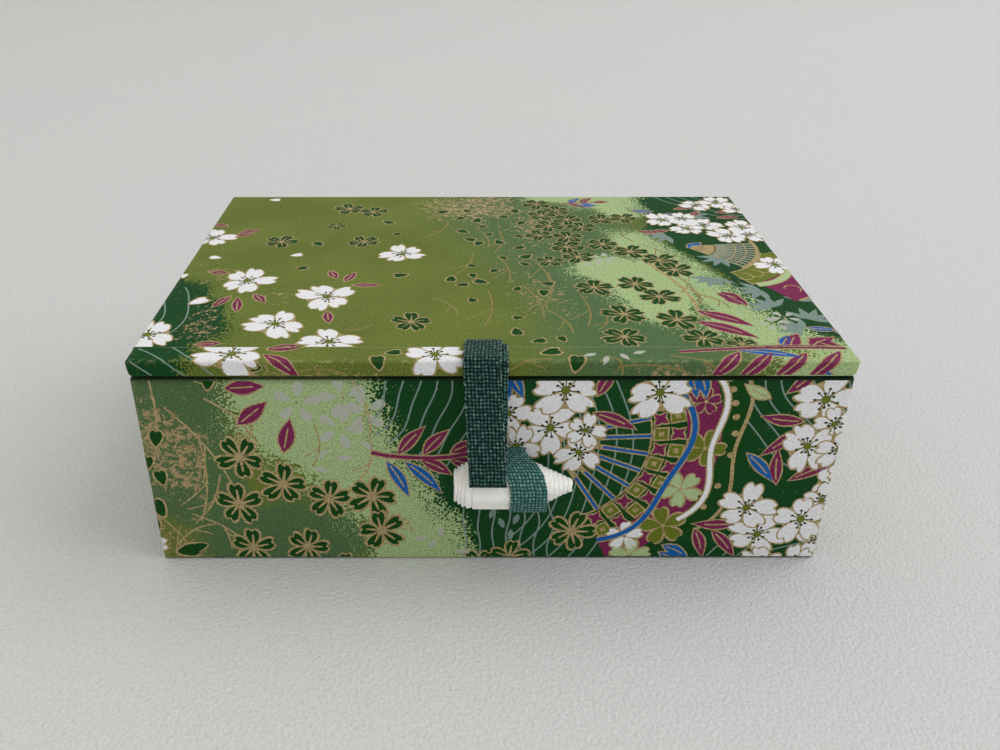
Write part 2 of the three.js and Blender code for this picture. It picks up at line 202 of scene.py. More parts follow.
@dataclass(frozen=True)
class PrintedPaper:
    """Mulberry paper, screen printed: matt water-based inks over long fibres, so the ground is soft, its
    colours meet in stippled edges, and the gold ink lies in spatters."""

    name: str = "printed_mulberry_paper"
    tones: PaperTones = PaperTones()
    cloud_mm: float = 22.0
    stipple_mm: float = 0.52
    fibre_mm: float = 0.9
    spatter_mm: float = 1.7
    fleck_mm: float = 0.62
    grain_mm: float = 0.42

    def make(self) -> Material:
        """Builds the material: the grounds, then the gold, the wear, the painted rim shade and the paper's
        grain.

        Returns:
            The material.
        """
        surface = Surface(self.name)
        add, where = surface.add, surface.millimetres(uv=True)
        masks = add("Attribute", attribute_name="tone").node.outputs
        gold = self.gold(add, where, masks["Alpha"])
        colour = add("Mix", gold, self.ground(add, where, masks["Color"]), linear(self.tones.tan), **COLOUR)
        # Painted light and shade on the paper's tooth: the grain that raises the bump also makes its high
        # places lighter and its low places darker.
        grain = add("TexNoise", where, 1 / self.grain_mm, 3, 0.7)
        shade = add("MapRange", grain, 0.3, 0.7, 0.62, 1.3, **SOFT)
        rough = add("MapRange", grain, 0.2, 0.8, 0.56, 0.72, **SOFT)
        return surface.finish(
            Base_Color=add("VectorMath", self.worn(add, where, colour), shade, operation="SCALE"),
            Roughness=add("Math", gold, -0.18, rough, **TIMES_PLUS),
            Specular_IOR_Level=0.12,
            Normal=self.relief(add, where, grain),
        )

    def stippled(self, add: Add, mask: Socket, dots: Socket) -> Socket:
        """Dots that grow until they meet: ink shows where the distance from the nearest dot's middle is less
        than 0.62 mask^0.6 + 0.6 mask^5, which makes the inked share grow evenly.

        Args:
            add: the surface's add.
            mask: how full the ink is, from 0 to 1.
            dots: the distance from the nearest dot's middle.

        Returns:
            Where the ink shows.
        """
        few = add("Math", add("Math", mask, 0.6, operation="POWER"), 0.62, **TIMES)
        reach = add("Math", add("Math", mask, 5, operation="POWER"), 0.6, few, **TIMES_PLUS)
        return add("MapRange", add("Math", reach, dots, operation="SUBTRACT"), -0.04, 0.04, **SOFT)

    def ground(self, add: Add, where: Socket, masks: Socket) -> Socket:
        """The ground: clouded olive, grey-green laid over it softly, then two stippled greens.

        Args:
            add: the surface's add.
            where: coordinates in millimetres.
            masks: the masks of the three greens, as a colour.

        Returns:
            The colour.
        """
        tones = self.tones
        grey, lime, forest = add("SeparateColor", masks).node.outputs
        dots = add("TexVoronoi", where, 1 / self.stipple_mm)
        dots = add("Math", dots, 0.03, operation="ADD")
        cloud = add("MapRange", add("TexNoise", where, 1 / self.cloud_mm, 3), 0.35, 0.65, **SOFT)
        colour = add("Mix", cloud, linear(tones.olive), linear(tones.olive_deep), **COLOUR)
        patchy = add("Math", add("TexNoise", where, 1 / 1.4, 4, 0.65), 0.5, -0.25, **TIMES_PLUS)
        soft = add("MapRange", add("Math", grey, patchy, operation="ADD"), 0.1, 0.9, **SOFT)
        colour = add("Mix", soft, colour, linear(tones.grey_green), **COLOUR)
        colour = add("Mix", self.stippled(add, lime, dots), colour, linear(tones.lime), **COLOUR)
        return add("Mix", self.stippled(add, forest, dots), colour, linear(tones.forest), **COLOUR)

    def gold(self, add: Add, where: Socket, spatter: Socket) -> Socket:
        """Spatters where two noises and the mask add up to enough, and a few far dots everywhere.

        Args:
            add: the surface's add.
            where: coordinates in millimetres.
            spatter: the mask of the spatters.

        Returns:
            Where the gold shows.
        """
        coarse = add("Math", add("TexNoise", where, 1 / self.spatter_mm, 7, 0.74), 0.62, **TIMES)
        crackle = add("Math", add("TexNoise", where, 1 / self.fleck_mm, 5, 0.7), 0.38, coarse, **TIMES_PLUS)
        flecks = add("Math", add("Math", spatter, 0.155, **TIMES), crackle, operation="ADD")
        far = add("MapRange", add("TexVoronoi", where, 0.75), 0.06, 0.09, 0.8, 0.0, **SOFT)
        return add("Math", add("MapRange", flecks, 0.645, 0.665, **SOFT), far, operation="MAXIMUM")

    def worn(self, add: Add, where: Socket, colour: Socket) -> Socket:
        """The colour, rubbed paler on the folds, with painted shade along the tray's rim under the lid's
        edge.

        Args:
            add: the surface's add.
            where: coordinates in millimetres.
            colour: the colour of the print.

        Returns:
            The worn colour, with the painted shade.
        """
        fold = add("Attribute", attribute_name="fold", out="Fac")
        # Painted shade: the mask of the dark band along the tray's rim, where the lid's edge overhangs it.
        painted_rim_shade = add("Attribute", attribute_name="painted_rim_shade", out="Fac")
        patchy = add("MapRange", add("TexNoise", where, 1 / 1.1, 4), 0.42, 0.72, **SOFT)
        rubbed = add("Math", add("Math", fold, patchy, **TIMES), 0.28, **TIMES)
        colour = add("Mix", rubbed, colour, linear(self.tones.rubbed), **COLOUR)
        return add("Mix", add("Math", painted_rim_shade, 0.85, **TIMES), colour, linear(self.tones.painted_rim_shade), **COLOUR)

    def relief(self, add: Add, where: Socket, grain: Socket) -> Socket:
        """Long fibres, from noise stretched ten times along a slant, over a fine tooth.

        Args:
            add: the surface's add.
            where: coordinates in millimetres.
            grain: the height of the tooth.

        Returns:
            The normal.
        """
        slant = add("Mapping", where, Rotation=(0, 0, 0.5), Scale=(1, 0.1, 1))
        fibres = add("TexNoise", slant, 1 / self.fibre_mm, 2)
        tooth = add("Bump", Strength=0.35, Distance=0.03 * MM, Height=grain)
        return add("Bump", Strength=0.3, Distance=0.04 * MM, Height=fibres, Normal=tooth)


@dataclass(frozen=True)
class Print:
    """One screen-printed ink: matt pigment, a little uneven where the screen laid it."""

    name: str
    colour: str
    uneven: str
    roughness: float = 0.62
    metallic: float = 0.0
    speckle_mm: float = 0.5
    tooth_mm: float = 0.3

    def make(self) -> Material:
        """Builds the material: two close shades in small lumps, with a fine tooth.

        Returns:
            The material.
        """
        surface = Surface(self.name)
        add, where = surface.add, surface.millimetres()
        lumps = add("MapRange", add("TexNoise", where, 1 / self.speckle_mm, 4, 0.7), 0.4, 0.66, **SOFT)
        tooth = add("TexNoise", where, 1 / self.tooth_mm, 3, 0.6)
        low, high = self.roughness - 0.08, self.roughness + 0.1
        return surface.finish(
            Base_Color=add("Mix", lumps, linear(self.colour), linear(self.uneven), **COLOUR),
            Metallic=self.metallic,
            Specular_IOR_Level=0.12,
            Roughness=add("MapRange", tooth, 0.2, 0.8, low, high, **SOFT),
            Normal=add("Bump", Strength=0.35, Distance=0.03 * MM, Height=tooth),
        )


class Ink(Enum):
    """The printed inks, as the screens are laid down."""

    GOLD = Print("print_gold", "#bda97c", "#77643c", 0.55, 0.1, 0.3)
    WHITE = Print("print_white", "#ebebed", "#d6d6d9")
    FOREST = Print("print_forest", "#083a0c", "#124c12")
    MAROON = Print("print_maroon", "#6d1c45", "#85305a")
    BLUE = Print("print_blue", "#0e529c", "#1f6ab2")
    MIST = Print("print_mist", "#72877f", "#85978f")
    OLIVE = Print("print_olive", "#5f6a1a", "#727d2a")
    LIME = Print("print_lime", "#a2b882", "#b2c696")
    PISTIL = Print("print_pistil", "#2c3512", "#454d19")
    ASH = Print("print_ash", "#a9b09e", "#b4b3ab")
    UMBER = Print("print_umber", "#93814f", "#70723c", 0.55, 0.1, 0.3)


@dataclass(frozen=True)
class PlainPaper:
    """Natural mulberry paper: matt and creamy, with long fibres that show."""

    name: str
    colour: str = "#e6dfcd"
    fibre: str = "#d3c7ab"
    pale: str = "#f1ecdf"
    fibre_mm: float = 1.1
    cloud_mm: float = 9.0
    tooth_mm: float = 0.3

    def make(self) -> Material:
        """Builds the material: fibres from noise stretched along a slant, under a pale cloud.

        Returns:
            The material.
        """
        surface = Surface(self.name)
        add, where = surface.add, surface.millimetres()
        slant = add("Mapping", where, Rotation=(0.3, 0.2, 0.9), Scale=(1, 0.08, 0.6))
        strands = add("MapRange", add("TexNoise", slant, 1 / self.fibre_mm, 3, 0.6), 0.52, 0.68, **SOFT)
        cloud = add("TexNoise", where, 1 / self.cloud_mm, 3)
        tooth = add("TexNoise", where, 1 / self.tooth_mm, 3, 0.6)
        fibrous = add("Math", strands, 0.6, **TIMES)
        colour = add("Mix", fibrous, linear(self.colour), linear(self.fibre), **COLOUR)
        tooth = add("Bump", Strength=0.3, Distance=0.03 * MM, Height=tooth)
        return surface.finish(
            Base_Color=add("Mix", add("Math", cloud, 0.2, **TIMES), colour, linear(self.pale), **COLOUR),
            Roughness=add("MapRange", cloud, 0.2, 0.8, 0.78, 0.92, **SOFT),
            Normal=add("Bump", Strength=0.3, Distance=0.03 * MM, Height=strands, Normal=tooth),
        )


@dataclass(frozen=True)
class Greyboard:
    """Recycled board: dull grey-brown pulp with pale and dark flecks."""

    name: str = "greyboard"
    pulp: tuple[str, str] = ("#8f877b", "#a59d91")
    fleck: str = "#6f675c"
    pulp_mm: float = 3.0
    fleck_mm: float = 0.6
    tooth_mm: float = 0.5

    def make(self) -> Material:
        """Builds the material: clouded pulp with flecks and a coarse tooth.

        Returns:
            The material.
        """
        surface = Surface(self.name)
        add, where = surface.add, surface.millimetres()
        cloud = add("TexNoise", where, 1 / self.pulp_mm, 5, 0.7)
        pulp = add("Mix", cloud, linear(self.pulp[0]), linear(self.pulp[1]), **COLOUR)
        flecks = add("MapRange", add("TexNoise", where, 1 / self.fleck_mm, 4, 0.7), 0.6, 0.7, **SOFT)
        tooth = add("TexNoise", where, 1 / self.tooth_mm, 4)
        return surface.finish(
            Base_Color=add("Mix", flecks, pulp, linear(self.fleck), **COLOUR),
            Roughness=add("MapRange", flecks, 0, 1, 0.88, 0.96, **SOFT),
            Normal=add("Bump", Strength=0.4, Distance=0.06 * MM, Height=tooth),
        )


@dataclass(frozen=True)
class Bookcloth:
    """Cotton bookcloth: a plain weave of teal threads, with painted highlights on crossings and painted shade
    between.
    """

    name: str = "teal_bookcloth"
    # deep is the painted shade between the threads, and crown the painted highlight on their tops.
    deep: str = "#03120f"
    body: str = "#1b443e"
    crown: str = "#74a398"
    frayed: str = "#9fb5aa"
    pitch_mm: float = 0.7
    slub_mm: float = 0.85
    fuzz_mm: float = 0.16
    woven_mesh: bool = True

    def make(self) -> Material:
        """Builds the material. A woven mesh brings its own thread height; a flat one gets the same weave
        from sines of its UV coordinates.

        Returns:
            The material.
        """
        surface = Surface(self.name)
        add, where = surface.add, surface.millimetres(uv=True)
        if self.woven_mesh:
            height = add("Attribute", attribute_name="thread", out="Fac")
        else:
            height = self.weave(add, where)
        slub = add("TexNoise", where, 1 / self.slub_mm, 4, 0.7)
        fuzz = add("TexNoise", where, 1 / self.fuzz_mm, 3, 0.7)
        normal = add("Bump", Strength=0.5, Distance=0.04 * MM, Height=fuzz)
        if not self.woven_mesh:
            normal = add("Bump", Strength=0.9, Distance=0.12 * MM, Height=height, Normal=normal)
        return surface.finish(
            Base_Color=self.thread_colour_and_painted_light(add, height, slub, fuzz),
            Roughness=add("MapRange", fuzz, 0.2, 0.8, 0.78, 0.95, **SOFT),
            Sheen_Weight=0.08,
            Sheen_Roughness=0.5,
            Specular_IOR_Level=0.15,
            Normal=normal,
        )

    def thread_colour_and_painted_light(self, add: Add, height: Socket, slub: Socket, fuzz: Socket) -> Socket:
        """The threads' colour: painted shade between them, a painted highlight in places on their crowns, and
        paler where frayed.

        Args:
            add: the surface's add.
            height: the height of the threads, from 0 to 1.
            slub: noise as wide as a thick place in a thread.
            fuzz: noise as fine as its fibres.

        Returns:
            The colour.
        """
        # Painted shade: the deep tone where the threads lie low.
        thread = add("MapRange", add("Math", slub, 0.7, height, **TIMES_PLUS), 0.55, 1.25, **SOFT)
        colour = add("Mix", thread, linear(self.deep), linear(self.body), **COLOUR)
        # Painted highlight: the crown tone on the threads' tops.
        crowns = add("MapRange", height, 0.35, 0.95, **SOFT)
        lit = add("Math", crowns, add("MapRange", slub, 0.42, 0.66, **SOFT), **TIMES)
        shine = add("Math", lit, add("MapRange", fuzz, 0.3, 0.7, 0.45, 1.0, **SOFT), **TIMES)
        colour = add("Mix", shine, colour, linear(self.crown), **COLOUR)
        fray = add("Attribute", attribute_name="fray", out="Fac")
        torn = add("Math", fray, add("MapRange", slub, 0.5, 0.6, **SOFT), **TIMES)
        return add("Mix", torn, colour, linear(self.frayed), **COLOUR)

    def weave(self, add: Add, where: Socket) -> Socket:
        """Thread height of a plain weave: |sin(pi u / pitch) sin(pi v / pitch)|^0.6.

        Args:
            add: the surface's add.
            where: coordinates in millimetres.

        Returns:
            The height, from 0 to 1.
        """
        turn = math.pi / self.pitch_mm
        across, along, _ = add("SeparateXYZ", where).node.outputs
        first = add("Math", add("Math", across, turn, **TIMES), operation="SINE")
        second = add("Math", add("Math", along, turn, **TIMES), operation="SINE")
        crossing = add("Math", add("Math", first, second, **TIMES), operation="ABSOLUTE")
        return add("Math", crossing, 0.6, operation="POWER")


@dataclass(frozen=True)
class RolledPaper:
    """White mulberry paper rolled tight: matt, with fine crinkles round the roll."""

    name: str = "rolled_white_paper"
    white: str = "#fdfcf9"
    shade: str = "#f3f0e9"
    crinkle_mm: float = 0.7
    fibre_mm: float = 0.6

    def make(self) -> Material:
        """Builds the material: crinkles from noise stretched round the roll, and fibres.

        Returns:
            The material.
        """
        surface = Surface(self.name)
        add, where = surface.add, surface.millimetres()
        rings = add("Mapping", where, Scale=(1, 0.15, 0.15))
        crinkle = add("TexNoise", rings, 1 / self.crinkle_mm, 4, 0.65)
        fibre = add("TexNoise", where, 1 / self.fibre_mm, 5, 0.7)
        pale = add("MapRange", fibre, 0.4, 0.7, **SOFT)
        crinkled = add("Bump", Strength=0.8, Distance=0.2 * MM, Height=crinkle)
        return surface.finish(
            Base_Color=add("Mix", pale, linear(self.white), linear(self.shade), **COLOUR),
            Roughness=add("MapRange", fibre, 0.2, 0.8, 0.62, 0.82, **SOFT),
            Normal=add("Bump", Strength=0.4, Distance=0.05 * MM, Height=fibre, Normal=crinkled),
        )


@dataclass(frozen=True)
class DrawingPaper:
    """Thick white drawing paper on a table: matt, with a pressed tooth."""

    name: str = "drawing_paper"
    colour: str = "#d3d4d4"
    cloud: str = "#d6d6d4"
    hollow_shade: str = "#b8b9b8"
    tooth_mm: float = 0.8
    depth_mm: float = 0.45
    cloud_mm: float = 260.0

    def make(self) -> Material:
        """Builds the material: a wide faint cloud, and a tooth with painted shade in its hollows.

        Returns:
            The material.
        """
        surface = Surface(self.name)
        add, where = surface.add, surface.millimetres()
        tooth = add("TexNoise", where, 1 / self.tooth_mm, 3, 0.6)
        cloud = add("TexNoise", where, 1 / self.cloud_mm, 2)
        colour = add("Mix", cloud, linear(self.colour), linear(self.cloud), **COLOUR)
        # Painted shade: the low places of the tooth are darker.
        low = add("MapRange", tooth, 0.3, 0.7, 0.35, 0.0, **SOFT)
        return surface.finish(
            Base_Color=add("Mix", low, colour, linear(self.hollow_shade), **COLOUR),
            Roughness=add("MapRange", tooth, 0.2, 0.8, 0.7, 0.9, **SOFT),
            Normal=add("Bump", Strength=1.0, Distance=self.depth_mm * MM, Height=tooth),
        )


# ---- Meshes ------------------------------------------------------------------------------------


def grid_faces(rows: int, columns: int, ring: bool, flip: bool, first: int = 0) -> tuple[Array, Array]:
    """The quads of a grid of points that is stored row by row.

    Args:
        rows: how many rows of points.
        columns: how many columns of points.
        ring: whether the last column joins the first.
        flip: whether the faces look the other way.
        first: the index of the grid's first point.

    Returns:
        The quads' point numbers, and the (row, column) of each corner, where a ring's last column counts on.
    """
    r, c = np.meshgrid(np.arange(rows - 1), np.arange(columns if ring else columns - 1), indexing="ij")
    r, c = r.ravel(), c.ravel()
    corners = np.stack([np.stack([r + down, c + right]) for down, right in ((0, 0), (0, 1), (1, 1), (1, 0))])
    if flip:
        corners = corners[::-1]
    corners = corners.transpose(2, 0, 1)
    return first + corners[:, :, 0] * columns + corners[:, :, 1] % columns, corners


def closed_faces(rows: int, columns: int) -> list[list[int]]:
    """The faces of a stack of rings, with a flat face over the first ring and the last.

    Args:
        rows: how many rings.
        columns: how many points a ring has.

    Returns:
        The outline of each face.
    """
    faces = grid_faces(rows, columns, ring=True, flip=False)[0].tolist()
    faces.append(list(range(columns))[::-1])
    faces.append(list(range((rows - 1) * columns, rows * columns)))
    return faces


def make_object(
    name: str, points: Array, faces: Array | list, materials: list[Material],
    slots: Array | list | None = None, smooth: bool = True,
) -> Piece:
    """A mesh object from points in millimetres.

    Args:
        name: the piece's name.
        points: an array of points.
        faces: quads as an array, or a list of outlines.
        materials: the piece's materials.
        slots: the material number of each face.
        smooth: whether the faces are smooth shaded.

    Returns:
        The object, linked to the scene.
    """
    mesh = bpy.data.meshes.new(name)
    mesh.from_pydata((points * MM).tolist(), [], faces.tolist() if isinstance(faces, np.ndarray) else faces)
    for material in materials:
        mesh.materials.append(material)
    if slots is not None:
        mesh.polygons.foreach_set("material_index", np.asarray(slots, np.int32))
    mesh.polygons.foreach_set("use_smooth", np.full(len(mesh.polygons), smooth))
    mesh.update()
    piece = bpy.data.objects.new(name, mesh)
    bpy.context.scene.collection.objects.link(piece)
    return piece


def set_values(piece: Piece, name: str, values: Array) -> None:
    """Stores a number or a colour for each point of the piece.

    Args:
        piece: the piece.
        name: the attribute's name.
        values: a number or a colour for each point.
    """
    kind = "FLOAT" if values.ndim == 1 else "FLOAT_COLOR"
    key = "value" if values.ndim == 1 else "color"
    layer = piece.data.attributes.new(name, kind, "POINT")
    layer.data.foreach_set(key, values.astype(np.float32).ravel())


@dataclass
class Sheet:
    """A thin sheet between two grids of points, closed all round.

    outer and inner hold rows by columns by three millimetre values. uv holds the sheet's flat
    coordinates, with one more column than the points where the sheet is a ring. The outer side gets the
    first material, and the inner side and the cut edges get the second.
    """

    outer: Array
    inner: Array
    uv: Array
    ring: bool = False
    flip: bool = False

    def make(self, name: str, materials: list[Material], smooth_angle: float = 0.6) -> Piece:
        """Builds the mesh: both grids, then a strip of quads between them along each free border.

        Args:
            name: the piece's name.
            materials: the materials of its faces.
            smooth_angle: how sharp an edge may be and still be shaded smooth.

        Returns:
            The piece.
        """
        rows, columns = self.outer.shape[:2]
        count = rows * columns
        front, front_uv = grid_faces(rows, columns, self.ring, self.flip)
        back, back_uv = grid_faces(rows, columns, self.ring, not self.flip, count)
        faces, corners = [front, back], [front_uv, back_uv]
        numbers = np.arange(count).reshape(rows, columns)
        where = np.stack(np.meshgrid(np.arange(rows), np.arange(columns), indexing="ij"), -1)
        borders = [(numbers[0], where[0], True), (numbers[-1], where[-1], False)]
        if not self.ring:
            borders += [(numbers[:, 0], where[:, 0], False), (numbers[:, -1], where[:, -1], True)]
        for line, spot, turned in borders:
            if self.ring:
                line = np.append(line, line[0])
                spot = np.concatenate([spot, spot[-1:] + [[0, 1]]])
            quads = np.stack([line[:-1], line[1:], line[1:] + count, line[:-1] + count], 1)
            spots = np.stack([spot[:-1], spot[1:], spot[1:], spot[:-1]], 1)
            if turned != self.flip:
                quads, spots = quads[:, ::-1], spots[:, ::-1]
            faces.append(quads)
            corners.append(spots)
        quads, spots = np.concatenate(faces), np.concatenate(corners)
        slots = np.ones(len(quads), int)
        slots[: len(front)] = 0
        points = np.concatenate([self.outer.reshape(-1, 3), self.inner.reshape(-1, 3)])
        piece = make_object(name, points, quads, materials, slots)
        flat = self.uv[spots[..., 0], spots[..., 1]]
        piece.data.uv_layers.new(name="sheet_mm").data.foreach_set("uv", flat.astype(np.float32).ravel())
        piece.data.set_sharp_from_angle(angle=smooth_angle)
        return piece


def lengths(points: Array) -> Array:
    """How far along a line of points each point is."""
    return np.concatenate([[0], np.cumsum(np.linalg.norm(np.diff(points, axis=0), axis=1))])


def resample(points: Array, step: float) -> Array:
    """The same line with points about step apart.

    Args:
        points: the line's points, in order.
        step: the distance between points.

    Returns:
        The new points.
    """
    along = lengths(points)
    wanted = np.linspace(0, along[-1], max(2, round(along[-1] / step) + 1))
    return np.stack([np.interp(wanted, along, points[:, axis]) for axis in range(points.shape[1])], 1)


def rounded_path(corners: list[Point], radii: list[float]) -> Array:
    """A line through corners in a plane, with each inner corner turned by an arc.

    The arc of radius r touches both legs at r * tan(half the turn) from the corner.

    Args:
        corners: the corner points.
        radii: a radius for each corner between the first and the last.

    Returns:
        The points of the line, with arcs of about five degrees a step.
    """
    points = [np.array(corners[0], float)]
    for before, corner, after, radius in zip(corners, corners[1:], corners[2:], radii):
        corner = np.array(corner, float)
        first = (corner - before) / np.linalg.norm(corner - before)
        second = (np.array(after) - corner) / np.linalg.norm(np.array(after) - corner)
        turn = math.acos(np.clip(first @ second, -1, 1))
        side = np.sign(first[0] * second[1] - first[1] * second[0])
        inward = side * radius * np.array([-first[1], first[0]])
        centre = corner - first * radius * math.tan(turn / 2) + inward
        angles = np.linspace(0, turn, max(3, round(turn / 0.09)))[:, None] * side
        arc = -inward * np.cos(angles) + np.array([inward[1], -inward[0]]) * np.sin(angles)
        points.extend(centre + arc)
    points.append(np.array(corners[-1], float))
    return np.array(points)


def normals_of(points: Array) -> Array:
    """The unit vectors to the left of a line of points in a plane.

    Args:
        points: the line's points, in order.

    Returns:
        A unit vector for each point.
    """
    ahead = np.gradient(points, axis=0)
    ahead /= np.linalg.norm(ahead, axis=1, keepdims=True)
    return np.stack([-ahead[:, 1], ahead[:, 0]], 1)


# ---- The print ---------------------------------------------------------------------------------


@dataclass(frozen=True)
class Patch:
    """A patch of one ground tone: an outline in sheet millimetres and the width of its soft border."""

    outline: tuple[Point, ...]
    soft: float = 6.0

    def depth(self, s: Array, t: Array) -> Array:
        """How far inside the outline each point is, in millimetres, and less than nothing outside.

        The distance is to the nearest edge. A point is inside if a line from it to the far right crosses
        the outline an odd number of times.

        Args:
            s: where the points are along the sheet.
            t: where the points are up the sheet.

        Returns:
            The distance at each point.
        """
        nearest, inside = np.full(s.shape, np.inf), np.zeros(s.shape, bool)
        for (s0, t0), (s1, t1) in zip(self.outline, self.outline[1:] + self.outline[:1]):
            ds, dt = s1 - s0, t1 - t0
            share = np.clip(((s - s0) * ds + (t - t0) * dt) / (ds * ds + dt * dt), 0, 1)
            nearest = np.minimum(nearest, np.hypot(s - s0 - share * ds, t - t0 - share * dt))
            if t0 != t1:
                inside ^= ((t0 > t) != (t1 > t)) & (s < ds * (t - t0) / dt + s0)
        return np.where(inside, nearest, -nearest)


def waver(s: Array, t: Array) -> Array:
    """A slow unevenness between about -1 and 1: five sines across the sheet in different directions."""
    waves = ((0.21, 0.13, 0.4), (-0.17, 0.29, 2.1), (0.41, -0.33, 4.0), (0.05, 0.57, 5.2), (0.83, 0.31, 1.0))
    return sum(np.sin(a * s + b * t + c) for a, b, c in waves) / 3


def cover(patches: list[Patch], s: Array, t: Array) -> Array:
    """How much the patches cover each point, from 0 to 1.

    A patch goes from 0 to 1 over its soft border, whose middle is the outline moved by waver. The fullest
    patch counts.

    Args:
        patches: the patches to look at.
        s: where the points are along the sheet.
        t: where the points are up the sheet.

    Returns:
        The cover at each point.
    """
    full = np.zeros_like(s)
    for patch in patches:
        full = np.maximum(full, np.clip(0.5 + (patch.depth(s, t) + 1.3 * waver(s, t)) / patch.soft, 0, 1))
    return full


@dataclass
class Ground:
    """The ground tones of one sheet."""

    grey: list[Patch] = field(default_factory=list)
    lime: list[Patch] = field(default_factory=list)
    forest: list[Patch] = field(default_factory=list)
    spatter: list[Patch] = field(default_factory=list)

    def tones(self, s: Array, t: Array) -> Array:
        """The four masks at each point of the sheet, as a colour."""
        layers = (self.grey, self.lime, self.forest, self.spatter)
        return np.stack([cover(layer, s, t) for layer in layers], -1)


def clipped(outline: Array, low: Point, high: Point) -> Array | None:
    """The part of an outline inside a box, cut along each side in turn; None if nothing is left.

    Between a point inside and one outside, the cut is at the share depth / (depth - next depth) of the way.

    Args:
        outline: the outline's points.
        low: the least of each coordinate in the box.
        high: the greatest of each coordinate in the box.

    Returns:
        The cut outline, or None.
    """
    for axis in (0, 1):
        for sign, limit in ((1, low[axis]), (-1, high[axis])):
            depth = sign * (outline[:, axis] - limit)
            after, depth_after = np.roll(outline, -1, 0), np.roll(depth, -1)
            crossing = (depth > 0) != (depth_after > 0)
            share = depth / np.where(crossing, depth - depth_after, 1)
            cuts = outline + (after - outline) * share[:, None]
            outline = np.stack([outline, cuts], 1)[np.stack([depth > 0, crossing], 1)]
            if len(outline) < 3:
                return None
    return outline


def area_of(outline: Array) -> float:
    """The area in an outline, below nothing where it runs clockwise."""
    after = np.roll(outline, -1, 0)
    return float(np.sum(outline[:, 0] * after[:, 1] - outline[:, 1] * after[:, 0])) / 2


@dataclass(frozen=True)
class Facet:
    """A flat part of a sheet: its limits in sheet millimetres, where its low corner lies, and how far a
    millimetre of s and of t goes there."""

    low: Point
    high: Point
    corner: Array
    along_s: Array
    along_t: Array

    def place(self, outline: Array, lift: float) -> Array | None:
        """What this facet shows of the outline, lifted off it; None if that is nothing.

        Args:
            outline: the outline in sheet coordinates.
            lift: how far it is lifted.

        Returns:
            The placed points, or None.
        """
        inside = clipped(outline, self.low, self.high)
        if inside is None or abs(area_of(inside)) < 0.003:
            return None
        out = np.cross(self.along_s, self.along_t)
        spread = (inside - self.low) @ np.stack([self.along_s, self.along_t])
        return self.corner + spread + lift * out / np.linalg.norm(out)


def facets_along(
    points: Array, marks: Array, way: tuple, low: float, high: float, zero: float = 0.0, s_runs: bool = True
) -> list[Facet]:
    """The facets between neighbouring points of a line, each swept in one direction.

    Args:
        points: the line where the swept coordinate is zero.
        marks: the other sheet coordinate at each point, which grows along the line.
        way: the direction of the sweep.
        low: where the sweep starts, in sheet millimetres.
        high: where it ends.
        zero: the sheet coordinate at the points themselves.
        s_runs: whether s runs along the line and t along the sweep, or the other way.

    Returns:
        One facet for each pair of points.
    """
    way, found = np.array(way, float), []
    for first, second, a, b in zip(points, points[1:], marks, marks[1:]):
        step = (np.array(second) - first) / (b - a)
        corner = np.array(first) + way * (low - zero)
        if s_runs:
            found.append(Facet((a, low), (b, high), corner, step, way))
        else:
            found.append(Facet((low, a), (high, b), corner, way, step))
    return found


def spoke(angle: float) -> Array:
    """The unit vector at an angle in degrees from +s."""
    return np.array([math.cos(math.radians(angle)), math.sin(math.radians(angle))])


def turned(points: Array, degrees: float, s: float, t: float) -> Array:
    """Points turned about the origin and then moved."""
    a = math.radians(degrees)
    return points @ np.array([[math.cos(a), math.sin(a)], [-math.sin(a), math.cos(a)]]) + [s, t]


def petal_shape(length: float, width: float, notch: float = 0.15, sway: float = 0.0) -> Array:
    """A petal from its base at the origin along +s: a drop that is widest past the middle, with a notch
    pressed into its round tip. sway bends it sideways and makes one of its lobes longer.

    Args:
        length: its length.
        width: its width.
        notch: how deep its notch is.
        sway: how far it leans sideways.

    Returns:
        Its outline.
    """
    angle = np.linspace(0, 2 * np.pi, 30, endpoint=False)
    along = (1 - np.cos(angle)) / 2
    across = np.sin(angle) * (0.42 + 0.66 * along) / 2
    pressed = notch * np.exp(-(((across - 0.1 * sway) / 0.1) ** 2)) * (along > 0.7)
    along = along - pressed + 0.3 * sway * across * along
    return np.stack([along * length, (across + 0.12 * sway * along**2) * width], 1)


def leaf_shape(length: float, width: float, curve: float = 0.0) -> Array:
    """A leaf along +s: sides from a sine, pointed at both ends, bowed sideways by curve.

    Args:
        length: its length.
        width: its width.
        curve: how far it bows sideways.

    Returns:
        Its outline.
    """
    along = np.linspace(0, 1, 13)
    half = np.sin(np.pi * along**0.85) ** 1.1 * width / 2
    spine = curve * np.sin(np.pi * along)
    upper = np.stack([along * length, spine + half], 1)
    lower = np.stack([along * length, spine - half], 1)[-2:0:-1]
    return np.concatenate([upper, lower])[::-1]


def disc_shape(radius: float, sides: int = 10) -> Array:
    """A round spot."""
    angle = np.linspace(0, 2 * np.pi, sides, endpoint=False)
    return radius * np.stack([np.cos(angle), np.sin(angle)], 1)


